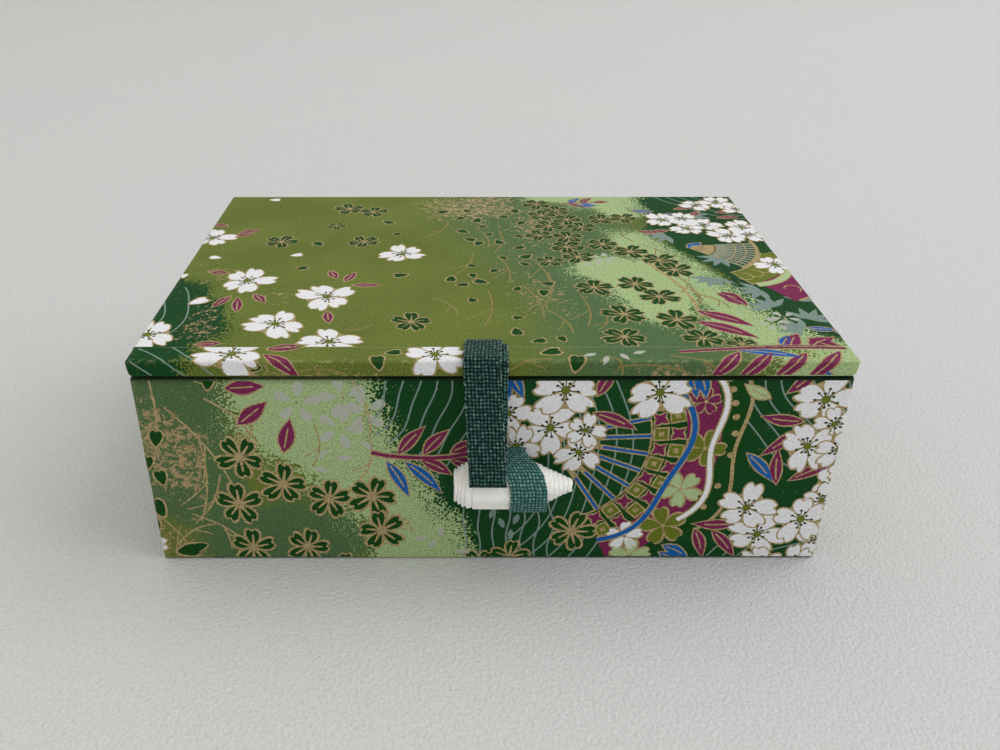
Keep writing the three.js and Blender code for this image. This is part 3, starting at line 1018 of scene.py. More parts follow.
@dataclass
class Drawing:
    """Printed shapes in sheet millimetres: each is an outline, its ink and its layer of ink.

    A motif has six layers, and a motif of a higher level lies over those of lower levels.
    """

    shapes: list = field(default_factory=list)
    level: int = 0

    def ink(self, outline: Array, ink: Ink, up: int = 0) -> None:
        """Adds one shape, up layers above the bottom of the present level."""
        self.shapes.append((outline, ink, self.level * 6 + up))

    def line(self, points: Array | list, width: float, ink: Ink, up: int = 0) -> None:
        """A line of even width, as short quads that meet at mitred corners.

        Args:
            points: the line's points, in order.
            width: its width.
            ink: the ink it is printed in.
            up: how many layers of ink up it is printed.
        """
        points = np.array(points, float)
        side = normals_of(points) * width / 2
        left, right = points + side, points - side
        for i in range(len(points) - 1):
            self.ink(np.array([right[i], right[i + 1], left[i + 1], left[i]]), ink, up)

    def arc(
        self, s: float, t: float, radius: float, start: float, end: float, width: float, ink: Ink,
        up: int = 0, wobble: float = 0.0, waves: float = 3,
    ) -> None:
        """Part of a circle, in degrees, whose radius may wander in and out.

        Args:
            s: where it is along the sheet, in millimetres.
            t: where it is up the sheet, in millimetres.
            radius: its radius.
            start: the angle it starts at, in degrees.
            end: the angle it ends at, in degrees.
            width: how wide the line is.
            ink: the ink it is printed in.
            up: how many layers of ink up it is printed.
            wobble: how far the radius wanders.
            waves: how often it wanders.
        """
        steps = max(4, int(abs(end - start) * radius / 90) + 2)
        angle = np.radians(np.linspace(start, end, steps))
        reach = radius + wobble * np.sin(np.linspace(0, waves * np.pi, steps))
        self.line(np.stack([s + reach * np.cos(angle), t + reach * np.sin(angle)], 1), width, ink, up)

    def dark_blossom(
        self, s: float, t: float, radius: float = 4.8, turn: float = 0.0, fine: float = 1.0
    ) -> None:
        """Five dark petals with a pale outline, a pale vein up each petal and a pale eye. fine is how thick
        the lines are beside those of the front wall.

        Args:
            s: where it is along the sheet, in millimetres.
            t: where it is up the sheet, in millimetres.
            radius: its radius.
            turn: how far it is turned, in degrees.
            fine: how thick its pale lines are.
        """
        rim = 0.1 * radius * fine
        self.ink(disc_shape(radius * 0.4 * fine) + [s, t], Ink.GOLD)
        for k in range(5):
            sway = 0.5 * math.sin(2.9 * k + s + 0.7 * t)
            angle, length = turn + 72 * k + 3 * sway, radius * (1 + 0.07 * math.sin(1.7 * k + t))
            self.ink(turned(petal_shape(length, radius * 0.88, 0.16, sway), angle, s, t), Ink.GOLD)
            inner = petal_shape(length - 2.2 * rim, radius * 0.88 - 2.5 * rim, 0.2, sway) + [1.25 * rim, 0]
            self.ink(turned(inner, angle, s, t), Ink.FOREST, 1)
            vein = np.array([[0, -0.075], [0.64, -0.03], [0.64, 0.03], [0, 0.075]]) * [length, length * fine]
            self.ink(turned(vein, angle, s, t), Ink.GOLD, 2)
        self.ink(disc_shape(radius * 0.13) + [s, t], Ink.GOLD, 3)

    def white_blossom(self, s: float, t: float, radius: float = 4.8, turn: float = 0.0) -> None:
        """Five white petals with a thin outline, a green eye and stamens with dots at their ends.

        Args:
            s: where it is along the sheet, in millimetres.
            t: where it is up the sheet, in millimetres.
            radius: its radius.
            turn: how far it is turned, in degrees.
        """
        self.ink(disc_shape(radius * 0.7, 14) + [s, t], Ink.GOLD)
        for k in range(5):
            sway = 0.9 * math.sin(2.9 * k + s + 0.7 * t)
            angle, length = turn + 72 * k + 5 * sway, radius * (1.02 + 0.1 * math.sin(1.7 * k + t))
            rim = petal_shape(length + 0.4, radius * 0.84 + 0.7, 0.15, sway)
            self.ink(turned(rim, angle, s, t), Ink.GOLD)
            inner = petal_shape(length - 0.15, radius * 0.84 - 0.15, 0.2, sway) + [0.2, 0]
            self.ink(turned(inner, angle, s, t), Ink.WHITE, 1)
            between = np.array([[0, -0.03], [0.52, -0.03], [0.52, 0.03], [0, 0.03]]) * radius
            self.ink(turned(between, angle + 36, s, t), Ink.GOLD, 2)
        self.ink(disc_shape(radius * 0.15, 9) + [s, t], Ink.OLIVE, 3)
        for k in range(11):
            angle = turn + 32.7 * k + 9 * math.sin(5.1 * k)
            reach = radius * (0.27 + 0.09 * math.sin(2.3 * k + s))
            stamen = np.array([[radius * 0.1, 0], [reach * 0.6, 0], [reach, 0]])
            self.line(turned(stamen, angle, s, t), 0.22, Ink.PISTIL, 3)
            dot = turned(np.array([[reach + 0.25, 0]]), angle, s, t)
            self.ink(disc_shape(0.36, 7) * [1, 0.8] + dot, Ink.PISTIL, 4)

    def ghost_blossom(
        self, s: float, t: float, radius: float = 4.5, turn: float = 0.0, ink: Ink = Ink.ASH
    ) -> None:
        """Five loose petals in one pale ink.

        Args:
            s: where it is along the sheet, in millimetres.
            t: where it is up the sheet, in millimetres.
            radius: its radius.
            turn: how far it is turned, in degrees.
            ink: the ink it is printed in.
        """
        for k in range(5):
            petal = petal_shape(radius * 0.7, radius * 0.5, 0.04) + [radius * 0.26, 0]
            self.ink(turned(petal, turn + 72 * k, s, t), ink)
        self.ink(disc_shape(0.3) + [s, t], Ink.GOLD, 1)

    def loose_petal(
        self, s: float, t: float, size: float = 2.6, turn: float = 0.0, ink: Ink = Ink.FOREST
    ) -> None:
        """One fallen petal with a pale outline."""
        self.ink(turned(petal_shape(size * 1.24, size * 1.08) - [size * 0.13, 0], turn, s, t), Ink.GOLD)
        self.ink(turned(petal_shape(size, size * 0.82), turn, s, t), ink, 1)

    def leaf(
        self, s: float, t: float, length: float, turn: float, ink: Ink = Ink.MAROON,
        width: float = 1.9, curve: float = 0.0, vein: bool = True,
    ) -> None:
        """A slender leaf with a pale outline and a pale rib.

        Args:
            s: where it is along the sheet, in millimetres.
            t: where it is up the sheet, in millimetres.
            length: its length.
            turn: how far it is turned, in degrees.
            ink: the ink it is printed in.
            width: its width.
            curve: how far it bows sideways.
            vein: whether it has a rib.
        """
        self.ink(turned(leaf_shape(length + 1.0, width + 0.7, curve) - [0.5, 0], turn, s, t), Ink.GOLD)
        self.ink(turned(leaf_shape(length, width, curve), turn, s, t), ink, 1)
        if vein:
            along = np.linspace(0.12, 0.72, 5)
            rib = np.stack([along * length, curve * np.sin(np.pi * along)], 1)
            self.line(turned(rib, turn, s, t), 0.32, Ink.GOLD, 2)

    def spray(
        self, s: float, t: float, turn: float, pairs: int, length: float = 6.0, gap: float = 4.2,
        blue: tuple[int, ...] = (), spread: float = 42,
    ) -> None:
        """A stem with pairs of leaves along it and one at its end. blue lists the leaves in blue.

        Args:
            s: where it is along the sheet, in millimetres.
            t: where it is up the sheet, in millimetres.
            turn: how far it is turned, in degrees.
            pairs: how many pairs of leaves.
            length: the length of a leaf.
            gap: the distance between pairs.
            blue: the leaves in blue.
            spread: the angle of the leaves to the stem, in degrees.
        """
        tip = pairs * gap
        stem = np.stack([np.linspace(-2.5, tip, 8), 0.35 * np.sin(np.linspace(0, 3, 8))], 1)
        self.line(turned(stem, turn, s, t), 0.75, Ink.GOLD)
        self.line(turned(stem, turn, s, t), 0.35, Ink.MAROON, 2)
        for k in range(pairs):
            base = turned(np.array([[k * gap, 0.2]]), turn, s, t)[0]
            for side in (1, -1):
                ink = Ink.BLUE if side * (k + 1) in blue else Ink.MAROON
                self.leaf(*base, length * (1 - 0.06 * k), turn + side * spread, ink, curve=0.35 * side)
        end = turned(np.array([[tip, 0]]), turn, s, t)[0]
        self.leaf(*end, length * 0.8, turn, Ink.MAROON)

    def ripples(self, s: float, t: float, radii: tuple[float, ...], start: float, end: float) -> None:
        """Lines that run beside one another round a point."""
        for k, radius in enumerate(radii):
            self.arc(s, t, radius, start, end, 0.34, Ink.MIST, 0, 0.5, 2.0 + 0.3 * k)

    def twig(self, s: float, t: float, turn: float, length: float, ink: Ink = Ink.GOLD) -> None:
        """A thin forked twig.

        Args:
            s: where it is along the sheet, in millimetres.
            t: where it is up the sheet, in millimetres.
            turn: how far it is turned, in degrees.
            length: its length.
            ink: the ink it is printed in.
        """
        along = np.linspace(0, 1, 7)
        main = np.stack([along * length, 1.5 * np.sin(np.pi * along * 0.9)], 1)
        self.line(turned(main, turn, s, t), 0.4, ink)
        fork = turned(main[3:4], turn, s, t)[0]
        side = np.stack([along * length * 0.42, -0.75 * along**2], 1)
        self.line(turned(side, turn - 34, *fork), 0.3, ink)

    def folding_fan(self, s: float, t: float, start: float, end: float, inner: float, outer: float) -> None:
        """A half-open fan: ribs from its rivet, a band of lozenges, a wavy line and a field of blossoms.

        Args:
            s: where it is along the sheet, in millimetres.
            t: where it is up the sheet, in millimetres.
            start: the angle it starts at, in degrees.
            end: the angle it ends at, in degrees.
            inner: its inner radius.
            outer: its outer radius.
        """
        for angle in np.linspace(start, end, 7):
            way = spoke(angle)
            near, far = way * inner * 0.22 + [s, t], way * inner + [s, t]
            self.line([near, (near + far) / 2, far], 1.25, Ink.GOLD)
            near = way * inner * 0.45 + [s, t]
            self.line([near, (near + far) / 2, far], 0.55, Ink.BLUE, 1)
        self.ink(turned(leaf_shape(inner * 0.5, inner * 0.3), (start + end) / 2, s, t), Ink.GOLD)
        middle = (inner + outer) / 2
        self.band(s, t, inner, middle, start, end, Ink.GOLD, 0)
        self.band(s, t, inner + 0.3, middle - 0.3, start, end, Ink.FOREST, 1)
        self.lozenges(s, t, inner, middle, start, end)
        self.band(s, t, middle, outer, start, end, Ink.GOLD, 0)
        self.band(s, t, middle + 0.3, outer - 0.3, start, end, Ink.MAROON, 1)
        self.arc(s, t, middle, start, end, 1.0, Ink.GOLD, 4, 0.8, 4)
        self.arc(s, t, middle, start, end, 0.6, Ink.BLUE, 5, 0.8, 4)
        self.arc(s, t, outer, start, end, 1.1, Ink.GOLD, 4, 0.9, 3)
        self.arc(s, t, outer, start, end, 0.6, Ink.WHITE, 5, 0.9, 3)
        self.arc(s, t, outer + 4.6, start, end, 0.45, Ink.GOLD, 1, 0.8, 3)
        for angle in np.linspace(start, end, 12)[1:-1]:
            self.ink(disc_shape(0.5) + spoke(angle) * (outer + 2.3) + [s, t], Ink.GOLD, 1)

    def band(
        self, s: float, t: float, inner: float, outer: float, start: float, end: float, ink: Ink, up: int
    ) -> None:
        """Part of a ring, in degrees, as quads.

        Args:
            s: where it is along the sheet, in millimetres.
            t: where it is up the sheet, in millimetres.
            inner: its inner radius.
            outer: its outer radius.
            start: the angle it starts at, in degrees.
            end: the angle it ends at, in degrees.
            ink: the ink it is printed in.
            up: how many layers of ink up it is printed.
        """
        angle = np.radians(np.linspace(start, end, 19))
        ring = np.stack([np.cos(angle), np.sin(angle)], 1)
        near, far = ring * inner + [s, t], ring * outer + [s, t]
        for i in range(len(ring) - 1):
            self.ink(np.array([near[i], far[i], far[i + 1], near[i + 1]]), ink, up)

    def lozenges(self, s: float, t: float, inner: float, outer: float, start: float, end: float) -> None:
        """A band of olive squares with pale rims between crossed maroon leaves, two rows deep.

        Args:
            s: where it is along the sheet, in millimetres.
            t: where it is up the sheet, in millimetres.
            inner: its inner radius.
            outer: its outer radius.
            start: the angle it starts at, in degrees.
            end: the angle it ends at, in degrees.
        """
        depth = (outer - inner) / 2
        count = max(2, round(abs(math.radians(end - start)) * inner / depth))
        step = (end - start) / count
        for row in range(2):
            radius = inner + depth * (row + 0.5)
            for k in range(count):
                angle = start + step * (k + 0.5)
                spot = spoke(angle) * radius + [s, t]
                if (row + k) % 2:
                    for r, ink, up in ((0.48, Ink.GOLD, 2), (0.37, Ink.OLIVE, 3), (0.16, Ink.GOLD, 4)):
                        self.ink(turned(disc_shape(depth * r * 1.4, 4), angle + 45, *spot), ink, up)
                else:
                    for side in (45, 135):
                        petal = leaf_shape(depth * 1.3, depth * 0.38) - [depth * 0.65, 0]
                        self.ink(turned(petal * [1, 1.7], angle + side, *spot), Ink.GOLD, 2)
                        self.ink(turned(petal * [0.85, 1], angle + side, *spot), Ink.MAROON, 3)

    def piece(self, name: str, facets: list[Facet], inks: dict[Ink, Material]) -> Piece:
        """One mesh of what the facets show of every shape, each layer of ink 4 microns above the last.

        The paper below it casts the shadows, so that layers of ink throw none on one another.

        Args:
            name: the piece's name.
            facets: the facets that show the drawing.
            inks: the materials of the inks.

        Returns:
            The piece.
        """
        points, faces, slots, order, count = [], [], [], list(Ink), 0
        lows, highs = np.array([f.low for f in facets]), np.array([f.high for f in facets])
        for outline, ink, layer in self.shapes:
            outline = outline if area_of(outline) > 0 else outline[::-1]
            near = (outline.min(0) < highs).all(1) & (outline.max(0) > lows).all(1)
            for facet in (facets[i] for i in np.flatnonzero(near)):
                placed = facet.place(outline, 0.006 + 0.004 * layer)
                if placed is not None:
                    faces.append(list(range(count, count + len(placed))))
                    points.append(placed)
                    slots.append(order.index(ink))
                    count += len(placed)
        materials = [inks[ink] for ink in order]
        piece = make_object(name, np.concatenate(points), faces, materials, slots, smooth=False)
        piece.visible_shadow = piece.visible_diffuse = False
        return piece


def draw_each(motif: Callable, rows: Iterable[tuple], *rest, **options) -> None:
    """Draws one motif for each row: the row holds its first arguments, and rest and options the others."""
    for row in rows:
        motif(*row, *rest, **options)


# ---- Where things are printed ------------------------------------------------------------------


def lid_ground() -> Ground:
    """The ground of the lid's sheet: olive, with grey-green, light green and dark green to the right and a
    dark corner at the front left.

    Returns:
        The ground.
    """
    return Ground(
        grey=[
            Patch(
                ((-6, 70), (-9, 30), (0, 10), (9, -20), (15, -70), (50, -70), (50, -20), (40, 10), (30, 70)),
                30,
            )
        ],
        lime=[
            Patch(((14, 60), (12, 45), (30, 37), (36, 28), (52, 34), (54, 60)), 7),
            Patch((
                (31, 22), (31, 6), (40, -3), (44, -14), (45, -24), (42, -37), (52, -44), (74, -50), (70, -34),
                (58, -12), (50, 8), (42, 22),
            ), 9),
            Patch(((17, -3), (22, 5), (34, 4), (46, -6), (45, -30), (36, -36), (28, -26), (25, -14)), 7),
            Patch(((50, -40), (62, -46), (80, -40), (80, -62), (57, -62), (53, -52)), 8),
        ],
        forest=[
            Patch(
                ((-90, 2), (-68, -6), (-61, -14), (-52, -30), (-54, -43), (-58, -43), (-57, -62), (-90, -62)),
                8,
            ),
            Patch(
                (
                    (44, 60), (42, 40), (40, 20), (44, 8), (50, -5), (53, -17), (57, -30), (65, -42),
                    (90, -40), (90, 60),
                ),
                10,
            ),
        ],
        spatter=[
            Patch(((-66, -1), (-57, -3), (-56, -11), (-64, -12)), 7),
            Patch(((-64, -18), (-56, -26), (-54, -40), (-62, -42)), 10),
            Patch(((-50, -16), (-40, -16), (-41, -22), (-50, -22)), 10),
            Patch(((-22, 46), (-6, 54), (10, 52), (14, 34), (0, 24), (-14, 30)), 15),
            Patch(((10, 46), (24, 40), (20, 10), (8, 4), (2, 24)), 24),
            Patch(((-48, -49), (-22, -51), (-22, -54), (-48, -54)), 5),
            Patch(((29, -50), (46, -50), (46, -56), (29, -56)), 5),
            Patch(((4, -4), (20, -10), (18, -30), (6, -28)), 24),
        ],
    )


def wall_ground() -> Ground:
    """The ground of the tray's sheet, whose s runs from the seam at the back left corner, along the left,
    front, right and back walls.

    Returns:
        The ground.
    """
    return Ground(
        grey=[
            Patch(((-95, 60), (-54, 60), (-52, 30), (-48, 12), (-54, 8), (-74, 12), (-92, 14)), 6),
            Patch(((-60, 12), (-46, 16), (-30, 14), (-24, 4), (-36, -8), (-62, -8)), 8),
            Patch(((84, 60), (128, 60), (122, -10), (92, -10)), 12),
            Patch(((-170, 60), (-130, 60), (-138, -10), (-170, -10)), 14),
        ],
        lime=[
            Patch((
                (-52, 60), (-10, 60), (-6, 26), (2, 8), (6, -10), (-30, -10), (-24, 7), (-31, 12), (-36, 20),
                (-46, 25), (-52, 34),
            ), 10),
            Patch(((76, -10), (84, 12), (96, 22), (104, 34), (108, 60), (122, 60), (112, 22), (102, -10)), 8),
            Patch(((246, 60), (262, 30), (272, -10), (292, -10), (280, 30), (268, 60)), 8),
            Patch(((-152, -10), (-146, 16), (-132, 30), (-118, 60), (-104, 60), (-122, 24), (-128, -10)), 8),
        ],
        forest=[
            Patch(((-28, 60), (-24, 40), (-19, 26), (-8, 9), (0, -10), (78, -10), (80, 20), (78, 60)), 12),
            Patch(((122, 60), (116, 30), (104, -10), (164, -10), (172, 60)), 12),
            Patch(((264, 60), (280, 30), (290, -10), (320, -10), (320, 60)), 12),
            Patch(((-180, 60), (-180, -10), (-156, -10), (-150, 20), (-138, 60)), 12),
        ],
        spatter=[
            Patch(((-73, 42), (-60, 40), (-54, 27), (-57, 13), (-66, 16), (-73, 26)), 9),
            Patch(((-74, 14), (-64, 11), (-58, 0), (-74, -2)), 14),
            Patch(((176, 36), (200, 40), (206, 24), (182, 18)), 12),
            Patch(((226, 18), (246, 22), (244, 4), (226, 4)), 12),
            Patch(((-112, 22), (-94, 26), (-92, 10), (-110, 6)), 12),
        ],
    )


def draw_lid() -> Drawing:
    """The lid's motifs: white blossoms on the left, dark blossoms and loose petals in the middle, and
    ripples, a fan and leaf sprays on the right. Below y -49 a motif is on the front edge.

    Returns:
        The drawing.
    """
    d = Drawing()
    draw_each(d.ripples, (
        (-86, -28, (18, 23), -30, 36),
        (78, 60, (16, 19, 22, 25, 28, 31), 190, 262),
    ))
    for s, t, turn in (
        (46, 18, 200), (51, -9, 250), (60, -25, 120), (66, -31, 60), (69, -22, 80), (55, 33, 300),
        (60, -16, 200), (56, 3, 240), (63, -36, 150),
    ):
        for side in (-70, -34, 0, 36, 74):
            d.ink(turned(leaf_shape(5.8, 1.7), turn + side, s, t), Ink.MIST)
    for s, t, turn in ((25, 1, 20), (28, 3, 80), (58, -33, 170), (61, -30, 120)):
        d.ghost_blossom(s, t, 3.2, turn)
    draw_each(d.twig, (
        (-9, 28, 240, 12), (-2, 24, 280, 14), (4, 22, 262, 16), (-3, 6, 250, 14), (3, 4, 275, 16),
        (9, 6, 285, 18), (-12, -20, 300, 10), (0, -16, 265, 18), (8, -14, 280, 16), (14, -6, 262, 18),
        (20, -18, 268, 16), (-18, 40, 300, 14), (12, -26, 290, 12), (-24, -33, 200, 6), (24, -28, 250, 8),
        (38, 12, 300, 9), (42, -6, 282, 14), (45, -16, 262, 8), (46, -18, 300, 9), (37, 14, 100, 8),
        (13, 36, 250, 9), (20, -48, 0, 14),
    ), ink=Ink.UMBER)
    darks = (
        (-16.2, -32, 4.6), (-50.4, 13.7, 4.4), (-29.9, 13.6, 4.2), (-35.9, 38.5, 4.4), (-29.3, 36, 4.2),
        (-38, 25, 2.6), (15, 42, 4.4), (20, 37, 4.0), (15.5, 33, 4.2), (22, 30, 4.4), (17, 25, 4.4),
        (25, 24, 4.2), (31, 30, 4.2), (37, 31, 4.0), (14, 18, 4.0), (21, 17, 4.6), (29, 12, 4.4),
        (20, 10, 4.6), (22, 3.5, 4.4), (15, 1, 3.6), (35, 7, 4.6), (41, 1.5, 4.8), (43.5, -4.5, 4.8),
        (23.5, -14.5, 4.8), (33, -12.5, 4.6), (37, -19.5, 4.8), (28, -28.5, 5.0), (38.5, -31, 5.0),
        (26.5, -39, 4.8), (42, -39.5, 4.6), (49, -42, 3.2),
    )
    for k, (s, t, radius) in enumerate(darks):
        d.level = 1 + k % 3
        d.dark_blossom(s, t, radius, 17 + 53 * k, 0.68)
    d.level = 1
    petals = (
        (4, 32), (9, 35), (1, 25), (3, 15), (7, 9), (5, 2), (11, 5), (8, 0), (1, -6), (0, -12), (7, -14),
        (12, -12), (12, -19), (7, -30), (5, -35), (8, -41), (14.5, -41), (-9, 37), (-5, 38), (-7, 30),
        (-4, 20), (2, 20), (-5, 16), (-2, 11), (-2, -2), (-8, -8), (-7, -13), (-3, -9), (-18, -7), (-4, -20),
        (-44, -4), (-40, 11), (-21, 20), (-26, 29), (9, 26), (10, 17), (-1, 31),
    )
    for k, (s, t) in enumerate(petals):
        d.loose_petal(s, t, 2.9 + 0.5 * math.sin(2.3 * k), 97 * k % 360)
    draw_each(d.leaf, (
        (-64, -5, 5, -15), (-56, -19, 6.5, 245), (-53, -27, 7.5, 100), (-51, -18, 5.5, -55),
        (-36, -5, 4.8, 294), (-32, -11, 5.6, 70), (-30, -13, 6.2, -2), (-34, -27, 5.6, 280),
        (-71, 27, 4, -30), (-64, 18, 6.5, 12), (-62, 20, 5.6, 28), (-43, -44, 5.6, 18), (-58, -42, 5, 4),
        (-66, 25, 5, 160), (68, 37, 6, 200), (58, 36, 5, 230), (44, 20, 5, 170), (47, 22, 5, 200),
        (52, 38, 6, 20), (62, 31, 6, 15),
    ))
    blue = ((52, 34, 5, 185), (40, 36.5, 6, 0), (46, 33, 6, 350), (30, 40, 5, 160), (64, -35, 6, -10))
    draw_each(d.leaf, blue, Ink.BLUE)
    d.spray(24, 43, 8, 2, 5.4, 3.4, (1, -2))
    d.level = 2
    whites = (
        (-20, 5.6, 5.4), (-54, -10.7, 6.2), (-35, -19.5, 6.6), (-43.9, -32.9, 6.3), (-32, -41, 5.8),
        (-68.6, -37.9, 6.2), (-68.0, 16.5, 5.6), (64.6, 43.8, 4.8), (66.5, 24, 4.8), (52.2, 23.0, 4.4),
        (47.0, 29.5, 4.8), (61.4, 17.6, 5.0), (58.6, 41.4, 4.2), (57, 25.5, 4.6), (67.5, -1.5, 5.0),
        (69, 38, 4.0), (52.5, 30.5, 4.6), (66.8, 18.4, 4.4),
    )
    for k, (s, t, radius) in enumerate(whites):
        d.level = 2 + k % 3
        d.white_blossom(s, t, radius, 40 + 31 * k)
    d.level = 2
    draw_each(d.loose_petal, (
        (-58.9, 46.2, 3.0, 0), (-46.5, 4.4, 2.8, 20), (-63, 3.1, 2.8, 170), (-63.8, -23.1, 4.2, 40),
        (-69, -9, 2.4, 90),
    ), Ink.WHITE)
    lid_fan(d)
    d.level = 3
    draw_each(d.leaf, (
        (43.5, -27, 12.5, -36), (42.5, -32, 13, -36), (58, -44, 7, 62), (62, -43.4, 7, 34), (68, -44, 7, 140),
        (50, -18, 6, -38), (55, -24, 8, 118),
    ), Ink.MAROON, 3.4, 0.5)
    d.leaf(56.6, -42.8, 5, 60, Ink.BLUE, 2.2)
    d.leaf(69, -36, 7, -40, Ink.BLUE, 2.2)
    bough = np.array([(38, 0), (41, -8), (43, -15), (44, -22), (44, -30)])
    d.line(bough, 0.7, Ink.GOLD)
    d.line(np.array([(42.4, -13), (46, -18), (49, -22)]), 0.5, Ink.GOLD)
    stem = np.stack([np.linspace(36, 70, 14), -45.6 + 2.4 * np.sin(np.linspace(0.1, 2.4, 14))], 1)
    d.line(stem, 1.3, Ink.GOLD, 4)
    d.line(stem, 0.8, Ink.MAROON, 5)
    return d


def draw_strip() -> Drawing:
    """The front strip's motifs. It was cut from another part of the sheet, so they break off at the seam;
    y -43 is the seam, and below -49 they are on the front edge.

    Returns:
        The drawing.
    """
    d = Drawing()
    d.ripples(-86, -78, (22, 26, 30, 34, 38, 42), 20, 80)
    for s, t, turn in (
        (20, -46, 200), (22, -47, 250), (24.5, -46, 300), (27, -46, 20), (68, -46, 20), (66, -47, 70),
    ):
        d.ink(turned(leaf_shape(3.0, 1.2), turn, s, t), Ink.ASH)
    twigs = ((-40, -52, 0, 12), (24, -50, 350, 14), (34, -47, 330, 12), (22, -47, 290, 6), (2, -52, 20, 10))
    draw_each(d.twig, twigs, ink=Ink.UMBER)
    d.level = 1
    draw_each(d.loose_petal, (
        (-20.5, -45.8, 3.0, 10), (-21.5, -50.6, 3.8, 100), (15.6, -51, 4.2, 80), (9.5, -46, 4.0, 20),
        (-46, -51, 2.4, 40),
    ))
    draw_each(d.leaf, (
        (-58, -42.6, 6, -4), (-43.5, -44.2, 6.5, 6), (-43.8, -46.4, 9.6, -42), (47.6, -45.4, 10, 230),
        (53.8, -45.6, 11.5, 226), (60.4, -45.8, 11.5, 226), (67, -45.2, 12, 228), (43, -56, 8, 150),
    ), Ink.MAROON, 2.6, 0.4)
    d.leaf(47.5, -44.8, 12.5, -14, Ink.BLUE, 2.4, 0.6)
    d.leaf(66.5, -56, 6, 120, Ink.BLUE, 2.2)
    stem = np.stack([np.linspace(36, 69, 14), -45.8 + 2.2 * np.sin(np.linspace(0.2, 2.2, 14))], 1)
    d.line(stem, 1.3, Ink.GOLD, 4)
    d.line(stem, 0.8, Ink.MAROON, 5)
    d.level = 2
    white = ((-50.0, -46.2, 6.6, 60), (-11, -46.4, 6.0, 100), (-28.5, -57.4, 4.6, 90), (52, -60, 4, 0))
    draw_each(d.white_blossom, white)
    return d


def lid_fan(d: Drawing) -> None:
    """The fan on the lid's right: fine pale ribs, an olive band with scrolls, a wave and a maroon field.

    Args:
        d: the drawing to add to.
    """
    d.level = 3
    s, t = 48.5, 10.5
    d.band(s, t, 5, 18, -50, 6, Ink.GOLD, 0)
    d.band(s, t, 7.5, 17.4, -49, 5, Ink.FOREST, 1)
    for angle in np.linspace(-49, 5, 11):
        way = spoke(angle)
        d.line([way * 2 + [s, t], way * 9 + [s, t], way * 17.6 + [s, t]], 0.3, Ink.GOLD, 3)
        d.line([way * 8 + [s, t], way * 12 + [s, t], way * 17 + [s, t]], 0.85, Ink.MIST, 2)
    for radius in (10, 12.5, 15):
        d.arc(s, t, radius, -49, 5, 0.28, Ink.GOLD, 3)
    d.leaf(s + 1, t - 1, 5, 40, Ink.BLUE, 2.6, vein=False)
    d.arc(s, t, 17.6, -52, 12, 1.0, Ink.GOLD, 3)
    d.band(s, t, 18, 26, -66, -14, Ink.GOLD, 0)
    d.band(s, t, 18.4, 25.6, -65, -14, Ink.OLIVE, 1)
    for angle in range(-62, -14, 9):
        way = spoke(angle)
        d.arc(*(way * 21.4 + [s, t]), 2.0, angle - 90, angle + 160, 0.3, Ink.GOLD, 2)
    d.band(s, t, 25.4, 37, -62, 14, Ink.MAROON, 1)
    d.arc(s, t, 26.4, -64, 12, 2.4, Ink.GOLD, 3, 0.9, 3)
    d.arc(s, t, 26.4, -64, 12, 1.7, Ink.LIME, 4, 0.9, 3)
    for angle, radius in ((-44, 32), (-8, 31)):
        way = spoke(angle)
        d.ghost_blossom(*(way * radius + [s, t]), 4.0, angle, Ink.OLIVE)
    d.arc(s, t, 37, -60, -10, 0.8, Ink.GOLD, 4)
    for angle, radius in ((-30, 33), (-20, 35), (-38, 30.5), (-54, 32)):
        way = spoke(angle)
        d.arc(*(way * radius + [s, t]), 1.9, angle, angle + 230, 0.35, Ink.GOLD, 2)


def draw_walls() -> Drawing:
    """The tray's motifs, wall by wall; s is x on the front wall and t is the height.

    Returns:
        The drawing.
    """
    d = Drawing()
    front_left(d)
    front_right(d)
    side_and_back(d)
    return d


